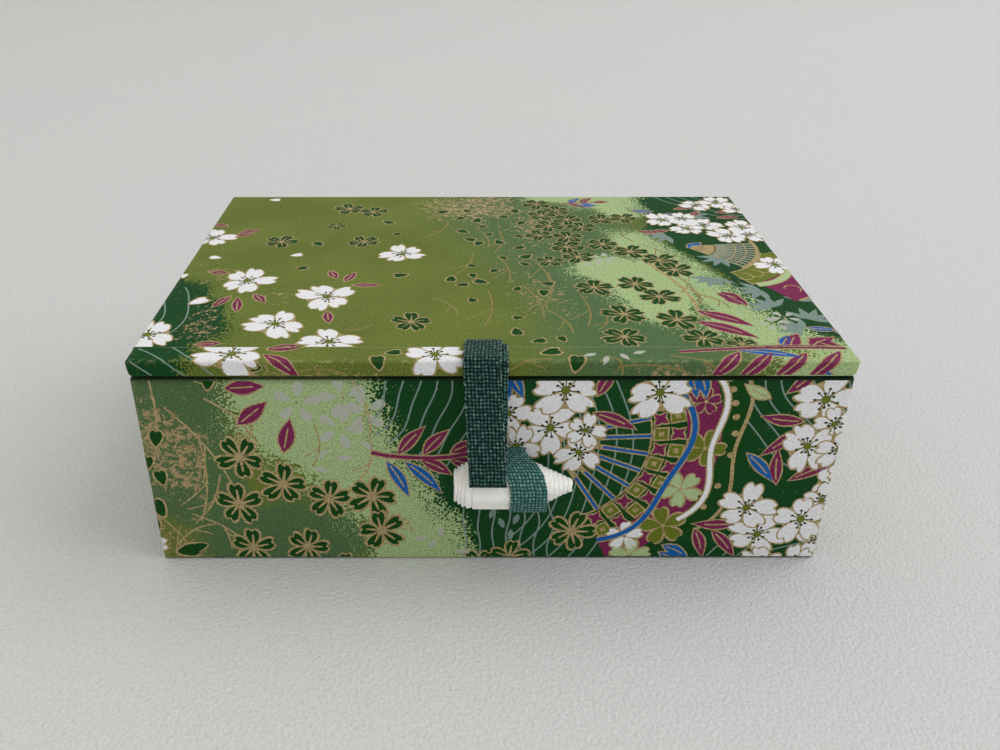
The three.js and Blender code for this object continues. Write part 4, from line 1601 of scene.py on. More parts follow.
def front_left(d: Drawing) -> None:
    """The front wall's left half: a drift of dark blossoms over light green, and a spray by the strap.

    Args:
        d: the drawing to add to.
    """
    draw_each(d.twig, (
        (-66, 44, 262, 20), (-64, 38, 300, 22), (-58, 30, 262, 20), (-56, 40, 310, 14), (-62, 12, 320, 14),
        (-56, 8, 290, 10), (-47, 38, 250, 10), (-35, 34, 262, 10), (-27, 44, 280, 14), (-24, 30, 250, 10),
        (-70, 12, 300, 12), (-66, 4, 30, 10), (-20, 12, 300, 6), (-55, 22, 240, 14),
    ))
    draw_each(d.ripples, (
        (-35, 45, (15, 18, 21, 24, 27, 30, 33), -48, 4),
        (-40, 8, (35, 38, 41, 44, 47, 50, 53), -14, 9),
    ))
    for s, t, turn in ((-38, 39, 10), (-29, 40, 30), (-30, 33, 70), (-25, 37, 100)):
        d.ghost_blossom(s, t, 5.0, turn)
    for s, t, turn in (
        (-35, 26, 40), (-31, 26, 0), (-33, 23, 170), (-26, 30, 320), (-13, 3, 50), (-10, 6, 100),
        (-16, 5, 20), (-7, 2, 0),
    ):
        d.ink(turned(leaf_shape(3.2, 1.3), turn, s, t), Ink.ASH)
    spots = (
        (-50.4, 26.2, 5.3, 200), (-52.0, 14.6, 5.4, 90), (-42.4, 19.6, 5.3, 150), (-33.2, 16.0, 5.2, 80),
        (-24.2, 16.6, 5.6, 70), (-22.8, 7.8, 5.4, 30), (-50.2, 3.2, 5.4, 85), (-38.6, 3.4, 5.2, 70),
        (-31, -2.4, 4.6, 90),
    )
    for k, (s, t, radius, turn) in enumerate(spots):
        d.level = 1 + k % 3
        d.dark_blossom(s, t, radius, turn)
    d.level = 2
    draw_each(d.loose_petal, (
        (-67, 29, 3.8, 80), (-66.8, 19.6, 3.6, 100), (-68, 11.5, 4.6, 110), (-70, 7, 4.0, 100),
        (-66.5, 2, 4.8, 10), (-69.5, 23.5, 3.2, 80), (-55, 42, 3.6, 80), (-57, 44, 3.6, 20),
        (-60, 4, 3.0, 200),
    ))
    draw_each(d.leaf, ((-51.5, 42.2, 7.5, 4), (-50, 34, 8, 40), (-41.6, 27.5, 8, 76)), Ink.MAROON, 3.1)
    d.level = 3
    stem = np.array([(-24, 27.4), (-21, 26.6), (-17, 26.2), (-12, 26.0), (-8, 26.3), (-4, 27.2)])
    d.line(stem, 1.5, Ink.GOLD)
    d.line(stem, 0.8, Ink.MAROON, 2)
    draw_each(d.leaf, (
        (-18.6, 27, 8.4, 50, Ink.MAROON), (-13.6, 27, 7.6, 48, Ink.MAROON), (-14, 25.5, 7, -30, Ink.MAROON),
        (-21, 25.2, 9.8, 296, Ink.BLUE), (-17.2, 25, 10.4, 314, Ink.BLUE), (-8, 27.4, 6, 22, Ink.MAROON),
        (-8, 25.6, 6, -22, Ink.MAROON),
    ), 2.4, 0.3)
    for s, t, turn in ((1, 13.5, 250), (2, 11, 290), (3, 14, 80), (6, 12, 250), (7, 15, 100), (4.5, 8, 270)):
        d.ink(turned(leaf_shape(3.0, 1.3), turn, s, t), Ink.MIST)


def front_right(d: Drawing) -> None:
    """The front wall's right half: white blossoms, the open fan and leaves on dark green.

    Args:
        d: the drawing to add to.
    """
    d.level = 0
    draw_each(d.ripples, (
        (76, 50, (12, 15, 18, 21, 24, 27, 30), 190, 262),
        (-18, 26, (30, 33.2, 36.4, 39.6, 42.8, 46), -44, 24),
        (70, -14, (10, 13, 16, 19, 22, 25, 28), 60, 150),
    ))
    d.level = 1
    front_fan(d)
    d.level = 2
    draw_each(d.leaf, (
        (1.4, 45, 6.5, 286, Ink.BLUE), (2.6, 46, 7, 300, Ink.BLUE), (20.5, 40.6, 6.4, 60, Ink.MAROON),
        (20, 36.6, 9.4, -24, Ink.MAROON), (37.5, 46, 6.4, 290, Ink.BLUE), (39.4, 46, 6.4, 290, Ink.BLUE),
        (51.5, 27, 9.2, 312, Ink.BLUE), (61.5, 34.6, 8.6, 172, Ink.MAROON),
        (61.5, 33.2, 10, 222, Ink.MAROON), (58.5, 19.6, 8.6, 96, Ink.MAROON),
        (61, 20.5, 11.5, 26, Ink.MAROON), (51.8, 9.4, 9.2, 180, Ink.MAROON), (43.2, 8, 8, 288, Ink.MAROON),
        (47, 7.6, 9, 308, Ink.MAROON), (37, 3.6, 6.6, 330, Ink.BLUE), (36.4, 1.6, 6.6, 330, Ink.BLUE),
        (54, 40, 6, 150, Ink.LIME), (62, 46, 7, 225, Ink.MAROON),
    ), 2.3, 0.3)
    draw_each(d.dark_blossom, ((17.2, 7.4, 5.4, 70), (4.4, 0.6, 4.6, 85), (-2, -1, 4, 60)))
    for k, (s, t, radius, turn) in enumerate((
        (3.2, 36.5, 4.8, 70), (17.6, 27.4, 4.6, 330), (5, 29.0, 4.6, 200), (14.2, 41.8, 6.2, 90),
        (11.6, 33.2, 6.0, 60), (32.5, 41.2, 6.2, 100), (18.6, 32.6, 3.8, 0), (0, 29.6, 4.0, 10),
        (64.9, 39.6, 6.2, 80), (67.6, 34.0, 4.2, 30), (63.2, 28.8, 5.6, 100), (69.6, 28, 4.4, 20),
        (70, 19.4, 4.6, 60), (68.6, 15.4, 4.4, 90), (53.3, 13.6, 5.8, 80), (65.1, 10.6, 5.8, 95),
        (56.6, 6.6, 5.8, 70), (69.6, 5.2, 4.4, 20), (58.6, -1.4, 5.0, 90), (66, -1.0, 4.4, 40),
    )):
        d.level = 2 + k % 4
        d.white_blossom(s, t, radius, turn)
    d.level = 2


def front_fan(d: Drawing) -> None:
    """The open fan on the front wall: ribs, a band of lozenges, a blue wave, a maroon field of blossoms, a
    white wave and a dark border with gold dots.

    Args:
        d: the drawing to add to.
    """
    s, t, start, end = 11.5, 30.5, -66, 26
    for angle in np.linspace(-58, 14, 7):
        way = spoke(angle)
        d.line([way * 5 + [s, t], way * 13 + [s, t], way * 20.5 + [s, t]], 1.25, Ink.GOLD, 0)
        d.line([way * 11 + [s, t], way * 16 + [s, t], way * 20.4 + [s, t]], 0.62, Ink.BLUE, 1)
    d.band(s, t, 20.2, 27.6, start, end, Ink.GOLD, 0)
    d.band(s, t, 20.6, 27.4, start, end, Ink.FOREST, 1)
    d.lozenges(s, t, 20.6, 27.4, start, end)
    d.band(s, t, 27.4, 34.4, start, end + 3, Ink.MAROON, 1)
    d.band(s, t, 34.4, 39, start + 26, end + 3, Ink.FOREST, 1)
    for angle, radius, size, ink in (
        (16, 31.4, 3.2, Ink.MAROON), (-4, 31.4, 4.6, Ink.OLIVE), (-24, 30.2, 4.8, Ink.LIME),
        (-41, 33.0, 5.2, Ink.OLIVE), (-55, 29.8, 4.2, Ink.WHITE), (-58, 35, 4.8, Ink.LIME),
    ):
        way = spoke(angle) * radius + [s, t]
        for k in range(5):
            d.ink(turned(petal_shape(size, size * 0.9), angle + 72 * k, *way), Ink.GOLD, 2)
            petal = petal_shape(size * 0.86, size * 0.66) + [size * 0.08, 0]
            d.ink(turned(petal, angle + 72 * k, *way), ink, 3)
        d.ink(disc_shape(0.4) + way, Ink.GOLD, 4)
    d.arc(s, t, 27.8, start, end, 1.7, Ink.GOLD, 3, 1.1, 3.2)
    d.arc(s, t, 27.8, start, end, 1.05, Ink.BLUE, 4, 1.1, 3.2)
    d.arc(s, t, 34.2, start + 30, end + 2, 1.6, Ink.GOLD, 3, 1.5, 3)
    d.arc(s, t, 34.2, start + 30, end + 2, 0.95, Ink.WHITE, 4, 1.5, 3)
    d.arc(s, t, 39.0, start + 30, end + 2, 0.8, Ink.GOLD, 3, 1.5, 3)
    for angle in (22, 18, 13, 8, 2, -6, -18, -27):
        way = spoke(angle)
        d.ink(disc_shape(0.75, 8) + way * 36.9 + [s, t], Ink.GOLD, 3)


def side_and_back(d: Drawing) -> None:
    """The right, back and left walls: the same motifs, in drifts that carry on from the front wall's.

    Args:
        d: the drawing to add to.
    """
    d.level = 0
    draw_each(d.ripples, (
        (150, -12, (12, 16, 20, 24, 28, 32), 40, 120), (166, 52, (12, 16, 20, 24, 28), 200, 280),
        (300, 50, (10, 14, 18, 22, 26), 200, 270), (-160, 48, (10, 14, 18, 22, 26), 270, 350),
        (86, 50, (12, 15, 18), 190, 260), (306, -8, (10, 14, 18, 22), 100, 170),
    ))
    draw_each(d.twig, (
        (-76, 40, 240, 18), (-84, 34, 270, 16), (-92, 12, 200, 14), (-104, 30, 300, 14), (-120, 20, 60, 12),
        (90, 30, 280, 16), (98, 20, 250, 14), (180, 20, 60, 12), (196, 10, 100, 16), (212, 34, 300, 16),
        (228, 26, 280, 14), (240, 12, 80, 12), (256, 30, 260, 16), (110, 10, 40, 14),
    ))
    for s, t, turn in (
        (104, 36, 0), (112, 28, 40), (262, 24, 10), (272, 12, 60), (-140, 14, 20), (-128, 34, 50),
    ):
        d.ghost_blossom(s, t, 5.0, turn)
    darks = (
        (84, 38), (93, 32), (88, 22), (98, 24), (104, 15), (95, 11), (110, 8), (119, 12), (102, 2),
        (218, 36), (226, 30), (235, 24), (228, 18), (243, 17), (250, 9), (240, 4), (259, 2), (214, 26),
        (-80, 26), (-88, 18), (-78, 14), (-97, 10), (-88, 4), (-106, 4), (-112, 14), (-120, 36), (-112, 30),
        (-103, 37), (200, 44), (-150, 38), (-144, 29), (-154, 26), (288, 38), (296, 30), (290, 20),
    )
    for k, (s, t) in enumerate(darks):
        d.level = 1 + k % 3
        d.dark_blossom(s, t, 5.1 + 0.4 * math.sin(3.1 * k), 41 * k)
    d.level = 1
    for k in range(46):
        s, t = 176 + 17.3 * k % 62, 3 + 13.7 * k % 39
        if math.sin(1.9 * k) > -0.2:
            d.loose_petal(s, t, 2.8 + 0.5 * math.sin(2.3 * k), 97 * k % 360)
    draw_each(d.leaf, (
        (80, 12, 8, 60, Ink.MAROON), (82, 9, 8, 10, Ink.BLUE), (130, 34, 9, 40, Ink.MAROON),
        (128, 30, 9, -10, Ink.MAROON), (131, 26, 8, 250, Ink.BLUE), (168, 30, 8, 20, Ink.MAROON),
        (172, 14, 8, 330, Ink.MAROON), (186, 8, 8, 20, Ink.MAROON), (206, 14, 8, 200, Ink.MAROON),
        (270, 38, 8, 320, Ink.MAROON), (276, 40, 8, 280, Ink.BLUE), (280, 6, 9, 30, Ink.MAROON),
        (-130, 10, 9, 60, Ink.MAROON), (-126, 8, 8, 10, Ink.MAROON), (-132, 6, 8, 300, Ink.BLUE),
        (-156, 12, 8, 30, Ink.MAROON),
    ), 2.6, 0.4)
    d.level = 2
    d.folding_fan(136, 8, 20, 100, 14, 24)
    for k, (s, t) in enumerate((
        (76, 34), (74, 24), (79, 29), (122, 40), (130, 41), (126, 33), (160, 8), (166, 14), (158, 17),
        (170, 38), (178, 40), (174, 32), (190, 16), (196, 22), (188, 25), (284, 12), (292, 8), (286, 4),
        (300, 14), (304, 38), (-162, 10), (-156, 4), (-152, 12), (-136, 24), (-130, 20), (-164, 36),
        (-74, 4), (150, 38),
    )):
        d.level = 3 + k % 4
        d.white_blossom(s, t, 5.0 + 0.5 * math.sin(2.7 * k), 47 * k)


# ---- The pieces --------------------------------------------------------------------------------


def finish_piece(piece: Piece, nodes: tuple[str, ...] = (), body: str | None = None) -> None:
    """Hides the CAD nodes a piece stands for, attaches it to the body it moves with, and logs its face count.

    Args:
        piece: the piece.
        nodes: the CAD nodes it stands for.
        body: the body it moves with.
    """
    if nodes:
        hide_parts(*nodes)
    if body:
        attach(piece, body)
    LOG.info("%s: %d faces", piece.name, len(piece.data.polygons))


def subdivide(points: Array, step: float) -> Array:
    """The same line with no segment longer than step.

    Args:
        points: the line's points, in order.
        step: the longest segment allowed.

    Returns:
        The new points.
    """
    points = points[np.append(True, np.linalg.norm(np.diff(points, axis=0), axis=1) > 1e-6)]
    along = lengths(points)
    parts = [np.linspace(a, b, math.ceil((b - a) / step) + 1)[:-1] for a, b in zip(along, along[1:])]
    wanted = np.append(np.concatenate(parts), along[-1])
    return np.stack([np.interp(wanted, along, points[:, axis]) for axis in range(2)], 1)


def rectangle(half_x: float, half_y: float, radius: float, counts: tuple[int, int], arc: int) -> tuple:
    """A rounded rectangle about the origin, counter-clockwise from the back end of the left side.

    On an arc a point is centre + radius * (out * cos(a) + ahead * sin(a)).

    Args:
        half_x: half its width.
        half_y: half its depth.
        radius: its corner radius.
        counts: how many points the left and right sides have, and the front and back sides.
        arc: how many steps a corner has.

    Returns:
        Its points and their outward unit vectors.
    """
    points, outs = [], []
    for number, out in enumerate(((-1, 0), (0, -1), (1, 0), (0, 1))):
        out = np.array(out, float)
        ahead = np.array([-out[1], out[0]])
        reach, side = (half_x, half_y) if number % 2 == 0 else (half_y, half_x)
        along = np.linspace(radius - side, side - radius, counts[number % 2])[:, None]
        points.append(out * reach + ahead * along)
        outs.append(np.repeat(out[None], len(along), 0))
        angle = np.linspace(0, np.pi / 2, arc + 1)[1:-1, None]
        turning = out * np.cos(angle) + ahead * np.sin(angle)
        points.append(out * (reach - radius) + ahead * (side - radius) + radius * turning)
        outs.append(turning)
    return np.concatenate(points), np.concatenate(outs)


def at_height(points: Array, z: float) -> Array:
    """Points in the xy plane, raised to one height."""
    return np.column_stack([points, np.full(len(points), z)])


def lay_ground(piece: Piece, ground: Ground, places: Array, worn: Array) -> None:
    """Stores a sheet's ground tones and wear at each point of both its sides.

    Args:
        piece: the sheet.
        ground: its ground tones.
        places: the sheet coordinates of its points, row by row.
        worn: how rubbed each point is, from 0 to 1.
    """
    tones = ground.tones(places[..., 0], places[..., 1]).reshape(-1, 4)
    set_values(piece, "tone", np.tile(tones, (2, 1)))
    set_values(piece, "fold", np.tile(worn.ravel(), 2))


# The direction along each side of the tray and the one out of it, from the left side round the front.
SIDES = (
    ((0, -1, 0), (-1, 0, 0)),
    ((1, 0, 0), (0, -1, 0)),
    ((0, 1, 0), (1, 0, 0)),
    ((-1, 0, 0), (0, 1, 0)),
)


@dataclass
class Tray:
    """The tray: boards, the printed wrap with its print, the bottom paper and the linings."""

    board: Material
    printed: Material
    plain: Material
    core: Material
    inks: dict[Ink, Material]
    corner: float = 0.65
    step: float = 1.2
    arc: int = 6
    turn_under: float = 12.0
    rim_width: float = 2.42
    turn_in_low: float = 34.5
    bottom_fold: float = 0.4
    rim_fold: float = 0.6
    inner_fold: float = 0.45

    def build(self) -> None:
        """Builds every piece of the tray but the cloth."""
        for node in (
            "base_board", "front_wall_board", "back_wall_board", "left_wall_board", "right_wall_board",
        ):
            paint_node(node, self.board)
        self.wrap()
        self.print()
        self.linings()

    def measures(self) -> tuple[float, float, float, float]:
        """Half the width, half the depth, the bottom and the rim's height of the wrap."""
        low, high = box_mm("tray_wrap_paper")
        return high[0], high[1], low[2], high[2]

    def profile(self, step: float) -> tuple[Array, Array]:
        """The wrap's section as (inset, height), from under the tray, up the wall and over the rim, and the
        sheet's t along it, which is the height on the wall.

        Args:
            step: the distance between points.

        Returns:
            The section's points and the t of each.
        """
        _, _, bottom, rim = self.measures()
        low_end, inner_end = (self.turn_under, bottom), (self.rim_width, self.turn_in_low)
        corners = [low_end, (0, bottom), (0, rim), (self.rim_width, rim), inner_end]
        path = subdivide(rounded_path(corners, [self.bottom_fold, self.rim_fold, self.inner_fold]), step)
        wall = int(np.argmax(path[:, 0] < 1e-6))
        along = lengths(path)
        return path, along - along[wall] + path[wall, 1]

    def outline(self, inset: float) -> tuple[Array, Array]:
        """The wrap's plan at an inset: the corner radius shrinks with it.

        Args:
            inset: how far the plan is in from the outside.

        Returns:
            Its points and their outward unit vectors.
        """
        half_x, half_y, _, _ = self.measures()
        counts = (round(2 * half_y / self.step), round(2 * half_x / self.step))
        radius = max(self.corner - inset, 0.03)
        return rectangle(half_x - inset, half_y - inset, radius, counts, self.arc)

    def along(self) -> Array:
        """The sheet's s at each point of the outline and at its end: 0 at the middle of the front.

        Returns:
            The values of s.
        """
        points, _ = self.outline(0)
        around = lengths(np.concatenate([points, points[:1]]))
        left, half = round(2 * self.measures()[1] / self.step), self.measures()[0]
        return around - around[left + self.arc - 1] - (half - self.corner)

    def wrap(self) -> None:
        """The printed paper round the walls, turned under and over the rim.

        A point is the outline at the profile's inset, at the profile's height; the inner side is one
        paper's thickness along the profile's normal from it.
        """
        path, t = self.profile(self.step)
        inner = path - PAPER * normals_of(path)
        grids = []
        for line in (path, inner):
            grids.append(np.stack([at_height(self.outline(inset)[0], z) for inset, z in line]))
        s = self.along()
        uv = np.stack(np.meshgrid(s, t), -1)
        piece = Sheet(*grids, uv, ring=True).make("tray_wrap", [self.printed, self.core])
        half_x, half_y, _, rim = self.measures()
        past = t - rim
        rubbed = (np.exp(-(((past - 1.9) / 0.5) ** 2)) + 0.15 * np.exp(-((past / 0.5) ** 2)))[:, None]
        edges = (-half_x - 2 * half_y, -half_x, half_x, half_x + 2 * half_y)
        gap = np.min([np.abs(s[:-1] - edge) for edge in edges], 0)
        worn = np.maximum(rubbed, np.exp(-((gap / 0.7) ** 2))[None])
        lay_ground(piece, wall_ground(), uv[:, :-1], worn)
        # Painted shade: a dark band over the rim's outer fold, standing in for the shade under the lid's
        # edge.
        painted_rim_shade = np.exp(-(((past + 0.1) / 0.5) ** 4))[:, None] * np.ones_like(worn)
        set_values(piece, "painted_rim_shade", np.tile(painted_rim_shade.ravel(), 2))
        finish_piece(piece, ("tray_wrap_paper",), "tray")

    def print(self) -> None:
        """The motifs on the walls, round the corners and over the rim."""
        half_x, half_y, bottom, rim = self.measures()
        corners, _ = rectangle(half_x, half_y, self.corner, (2, 2), self.arc)
        corners = np.concatenate([corners, corners[:1]])
        marks = lengths(corners)
        marks += -(marks[1 + self.arc] + half_x - self.corner)
        facets = facets_along(at_height(corners, 0), marks, (0, 0, 1), bottom + 0.45, rim - 0.65)
        path, t = self.profile(0.5)
        over = (t > rim + 0.3) & (t < rim + 5)
        insets, heights = path[over].T
        for number, (way, out) in enumerate(SIDES):
            reach, side = (half_x, half_y) if number % 2 == 0 else (half_y, half_x)
            line = np.outer(reach - insets, out) + np.outer(heights, (0, 0, 1))
            middle = marks[number * (self.arc + 1)] + side - self.corner
            for k in range(len(line) - 1):
                end = side - max(self.corner, insets[k + 1])
                facets += facets_along(
                    line[k : k + 2], t[over][k : k + 2], way, middle - end, middle + end, middle, s_runs=False
                )
        piece = draw_walls().piece("tray_print", facets, self.inks)
        finish_piece(piece, (), "tray")

    def linings(self) -> None:
        """The plain papers: a band round the inside of the walls, and flat sheets on the floor and below."""
        low, high = box_mm("wall_lining_paper")
        heights = np.linspace(low[2], high[2], 12)
        sides, radius = [], 0.6
        for inset in (PAPER, 0.0):
            ring, _ = rectangle(high[0] - inset, high[1] - inset, radius - inset, (50, 70), self.arc)
            sides.append(np.stack([at_height(ring, z) for z in heights]))
        marks = lengths(np.concatenate([sides[0][0], sides[0][0][:1]]))
        uv = np.stack(np.meshgrid(marks, heights), -1)
        lining = Sheet(*sides, uv, ring=True, flip=True).make("wall_lining", [self.plain, self.plain])
        finish_piece(lining, ("wall_lining_paper",), "tray")
        panel("floor_lining", "floor_lining_paper", "tray", self.plain, upward=True)
        panel("bottom_paper", "tray_bottom_paper", "tray", self.plain, upward=False)


def paint_node(node: str, material: Material) -> None:
    """Gives a CAD node that stays in view our own material.

    Args:
        node: the CAD node's name.
        material: the material.
    """
    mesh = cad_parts[node].data
    mesh.materials.clear()
    mesh.materials.append(material)


def panel(name: str, node: str, body: str, material: Material, upward: bool) -> None:
    """A flat sheet of paper in the place of a CAD node, cockled by a few microns.

    Args:
        name: the piece's name.
        node: the CAD node that it replaces.
        body: the body it moves with.
        material: its material.
        upward: whether its good side looks up.
    """
    low, high = box_mm(node)
    x = np.linspace(low[0], high[0], 60)
    y = np.linspace(low[1], high[1], 42)
    x, y = np.meshgrid(x, y)
    edge = np.minimum.reduce([x - low[0], high[0] - x, y - low[1], high[1] - y])
    cockle = 0.012 * waver(0.4 * x, 0.4 * y) * np.clip(edge / 6, 0, 1)
    top = np.stack([x, y, high[2] - 0.02 + cockle], -1)
    under = np.stack([x, y, low[2] + 0.02 + cockle], -1)
    outer, inner = (top, under) if upward else (under, top)
    uv = np.stack([x, y], -1)
    piece = Sheet(outer, inner, uv, flip=not upward).make(name, [material, material])
    finish_piece(piece, (node,), body)


@dataclass
class Lid:
    """The lid: a board with blunted corners, the cover, the front strip, their print and the lining."""

    board: Material
    printed: Material
    plain: Material
    core: Material
    inks: dict[Ink, Material]
    half_x: float = 69.8
    top_fold: float = 0.55
    low_fold: float = 0.4
    turn_in: float = 12.0
    strip_turn_in: float = 4.0
    step: float = 1.0

    def build(self) -> None:
        """Builds every piece of the lid but the cloth."""
        self.make_board()
        self.cover()
        self.front_strip()
        self.print()
        panel("lid_lining", "lid_lining_paper", "lid", self.plain, upward=False)

    def heights(self) -> Point:
        """The height of the turned-in paper's underside, and of the lid's top."""
        low, high = box_mm("lid_cover_paper")
        return low[2], high[2]

    def make_board(self) -> None:
        """The board: rounded rectangles stacked up, more rounded low down, closed by flat faces."""
        low, high = box_mm("lid_board")
        middle, half_y = (low[1] + high[1]) / 2, (high[1] - low[1]) / 2 - 0.08
        counts, rings = (2, 2), []
        for z, radius, inset in ((0.02, 2.0, 0.25), (0.3, 1.9, 0.0), (2.6, 1.0, 0.0), (2.9, 1.0, 0.3)):
            ring, _ = rectangle(self.half_x - 0.24 - inset, half_y - inset, radius, counts, 8)
            rings.append(at_height(ring + [0, middle], low[2] + z))
        grid = np.stack(rings)
        rows, columns = grid.shape[:2]
        faces = closed_faces(rows, columns)
        piece = make_object("lid_board_body", grid.reshape(-1, 3), faces, [self.board], smooth=False)
        finish_piece(piece, ("lid_board",), "lid")

    def section(self) -> Array:
        """The cover's section across the lid as (x, z): from under the left edge, over the top, to under
        the right edge.

        Returns:
            The points.
        """
        low, top = self.heights()
        x = self.half_x
        reach = x - self.turn_in
        corners = [(-reach, low), (-x, low), (-x, top), (x, top), (x, low), (reach, low)]
        return rounded_path(corners, [self.low_fold, self.top_fold, self.top_fold, self.low_fold])

    def cover(self) -> None:
        """The printed cover: its section swept from the seam to the back edge. s is the distance along the
        section from its middle, and t is y.
        """
        low, high = box_mm("lid_cover_paper")
        path = subdivide(self.section(), self.step)
        inner = path - PAPER * normals_of(path)
        y = np.linspace(low[1], high[1], round((high[1] - low[1]) / self.step))
        grids = [np.stack([at_height(line, v)[:, [0, 2, 1]] for v in y]) for line in (path, inner)]
        along = lengths(path)
        uv = np.stack(np.meshgrid(along - along[-1] / 2, y), -1)
        piece = Sheet(*grids, uv).make("lid_cover", [self.printed, self.core])
        gap = np.abs(np.abs(uv[..., 0]) - self.half_x)
        lay_ground(piece, lid_ground(), uv, np.exp(-((gap / 0.6) ** 2)))
        finish_piece(piece, ("lid_cover_paper",), "lid")

    def strip_profile(self) -> Array:
        """The front strip's section as (inset, z): from under the front edge, up it and back to the seam.

        Returns:
            The points.
        """
        low, top = self.heights()
        depth = self.strip_depth()
        corners = [(self.strip_turn_in, low), (0, low), (0, top), (depth - 0.04, top)]
        return rounded_path(corners, [self.low_fold, self.top_fold])

    def strip_depth(self) -> float:
        """How deep the strip is from front to back."""
        low, high = box_mm("lid_front_strip_paper")
        return high[1] - low[1]

    def strip_outline(self, inset: float, drop: float) -> tuple[Array, Array]:
        """The strip's plan at an inset: back end of the left side, round the front, to that of the right.

        The corner radius is 0.6 at the top and grows with the square of the drop, as the corners were
        pressed in.

        Args:
            inset: how far the plan is in from the outside.
            drop: how far below the top it is.

        Returns:
            Its points and their outward unit vectors.
        """
        low, high = box_mm("lid_front_strip_paper")
        depth = self.strip_depth()
        radius = min(max(0.6 + 0.08 * drop**2 - inset, 0.02), depth - inset - 0.01)
        reach = self.half_x - inset
        front, back = low[1] + inset, high[1]
        ends, across = 7, 140
        side = np.linspace(back, front + radius, ends)
        angle = np.linspace(0, np.pi / 2, 9)[1:-1]
        middle = np.linspace(radius - reach, reach - radius, across)
        left = np.column_stack([np.full(ends, -reach), side])
        turn = np.column_stack([-np.cos(angle), -np.sin(angle)])
        corner = radius * turn + [radius - reach, front + radius]
        face = np.column_stack([middle, np.full(across, front)])
        points = np.concatenate([left, corner, face, (corner * [-1, 1])[::-1], (left * [-1, 1])[::-1]])
        flat = np.repeat([[-1.0, 0.0]], ends, 0)
        ahead = np.repeat([[0.0, -1.0]], across, 0)
        outs = np.concatenate([flat, turn, ahead, (turn * [-1, 1])[::-1], -flat])
        return points, outs

    def front_strip(self) -> None:
        """The printed strip over the front edge. On top its sheet coordinates are x and y; past the fold
        they go on outwards by the distance down the face, so that the print carries on."""
        _, top = self.heights()
        path = subdivide(self.strip_profile(), 0.8)
        inner = path - PAPER * normals_of(path)
        grids, flat = [], []
        for line in (path, inner):
            grids.append(np.stack([at_height(self.strip_outline(inset, top - z)[0], z) for inset, z in line]))
        along = lengths(path)
        fold = along[-1] - (self.strip_depth() - 0.04 - self.top_fold)
        for (inset, _), distance in zip(path, along):
            on_top = distance > fold - 0.01
            ring, outs = self.strip_outline(max(inset, self.top_fold) if on_top else self.top_fold, 0)
            flat.append(ring + outs * max(0.0, fold - distance))
        uv = np.stack(flat)
        piece = Sheet(*grids, uv).make("lid_front_strip", [self.printed, self.core])
        worn = np.exp(-(((along - fold + 0.4) / 0.5) ** 2))[:, None] * np.ones(uv.shape[1])
        lay_ground(piece, lid_ground(), uv, worn)
        finish_piece(piece, ("lid_front_strip_paper",), "lid")

    def print(self) -> None:
        """The motifs on the cover's top and sides and on the strip's top and front."""
        low, high = box_mm("lid_cover_paper")
        front = box_mm("lid_front_strip_paper")[0][1]
        seam = box_mm("lid_front_strip_paper")[1][1]
        path = self.section()
        marks = lengths(path) - lengths(path)[-1] / 2
        shown = np.abs(marks) < self.half_x + 3.2
        line = np.column_stack([path[shown, 0], np.zeros(shown.sum()), path[shown, 1]])
        facets = facets_along(line, marks[shown], (0, 1, 0), low[1] + 0.02, high[1] - 0.02)
        finish_piece(draw_lid().piece("lid_print", facets, self.inks), (), "lid")
        profile = self.strip_profile()
        along = lengths(profile)
        fold = along[-1] - (self.strip_depth() - 0.04 - self.top_fold)
        t = front + self.top_fold + along - fold
        face = np.arange(len(profile)) >= np.argmax(profile[:, 0] < 1e-6)
        line = np.column_stack([np.zeros(face.sum()), front + profile[face, 0], profile[face, 1]])
        line[-1, 1], t[-1] = seam - 0.06, seam - 0.06
        facets = facets_along(line, t[face], (1, 0, 0), 1.2 - self.half_x, self.half_x - 1.2, s_runs=False)
        finish_piece(draw_strip().piece("strip_print", facets, self.inks), (), "lid")


def weave_height(across: Array, along: Array, pitch: float) -> Array:
    """The height of a plain weave, from 0 between threads to 1 at a thread's crown.

    With u and v the distances in pitches, a crossing shows the lengthwise thread where floor(u) + floor(v)
    is even. A shown thread is |sin(pi a)|^0.45 * |sin(pi b)|^0.9, with a across it and b along it.

    Args:
        across: the places across the cloth.
        along: the places along the cloth.
        pitch: the distance between threads.

    Returns:
        The height at each place.
    """
    u, v = across / pitch, along / pitch
    first, second = np.abs(np.sin(np.pi * u)), np.abs(np.sin(np.pi * v))
    lengthwise = (np.floor(u) + np.floor(v)) % 2 == 0
    return np.where(lengthwise, first**0.45 * second**0.9, second**0.45 * first**0.9)


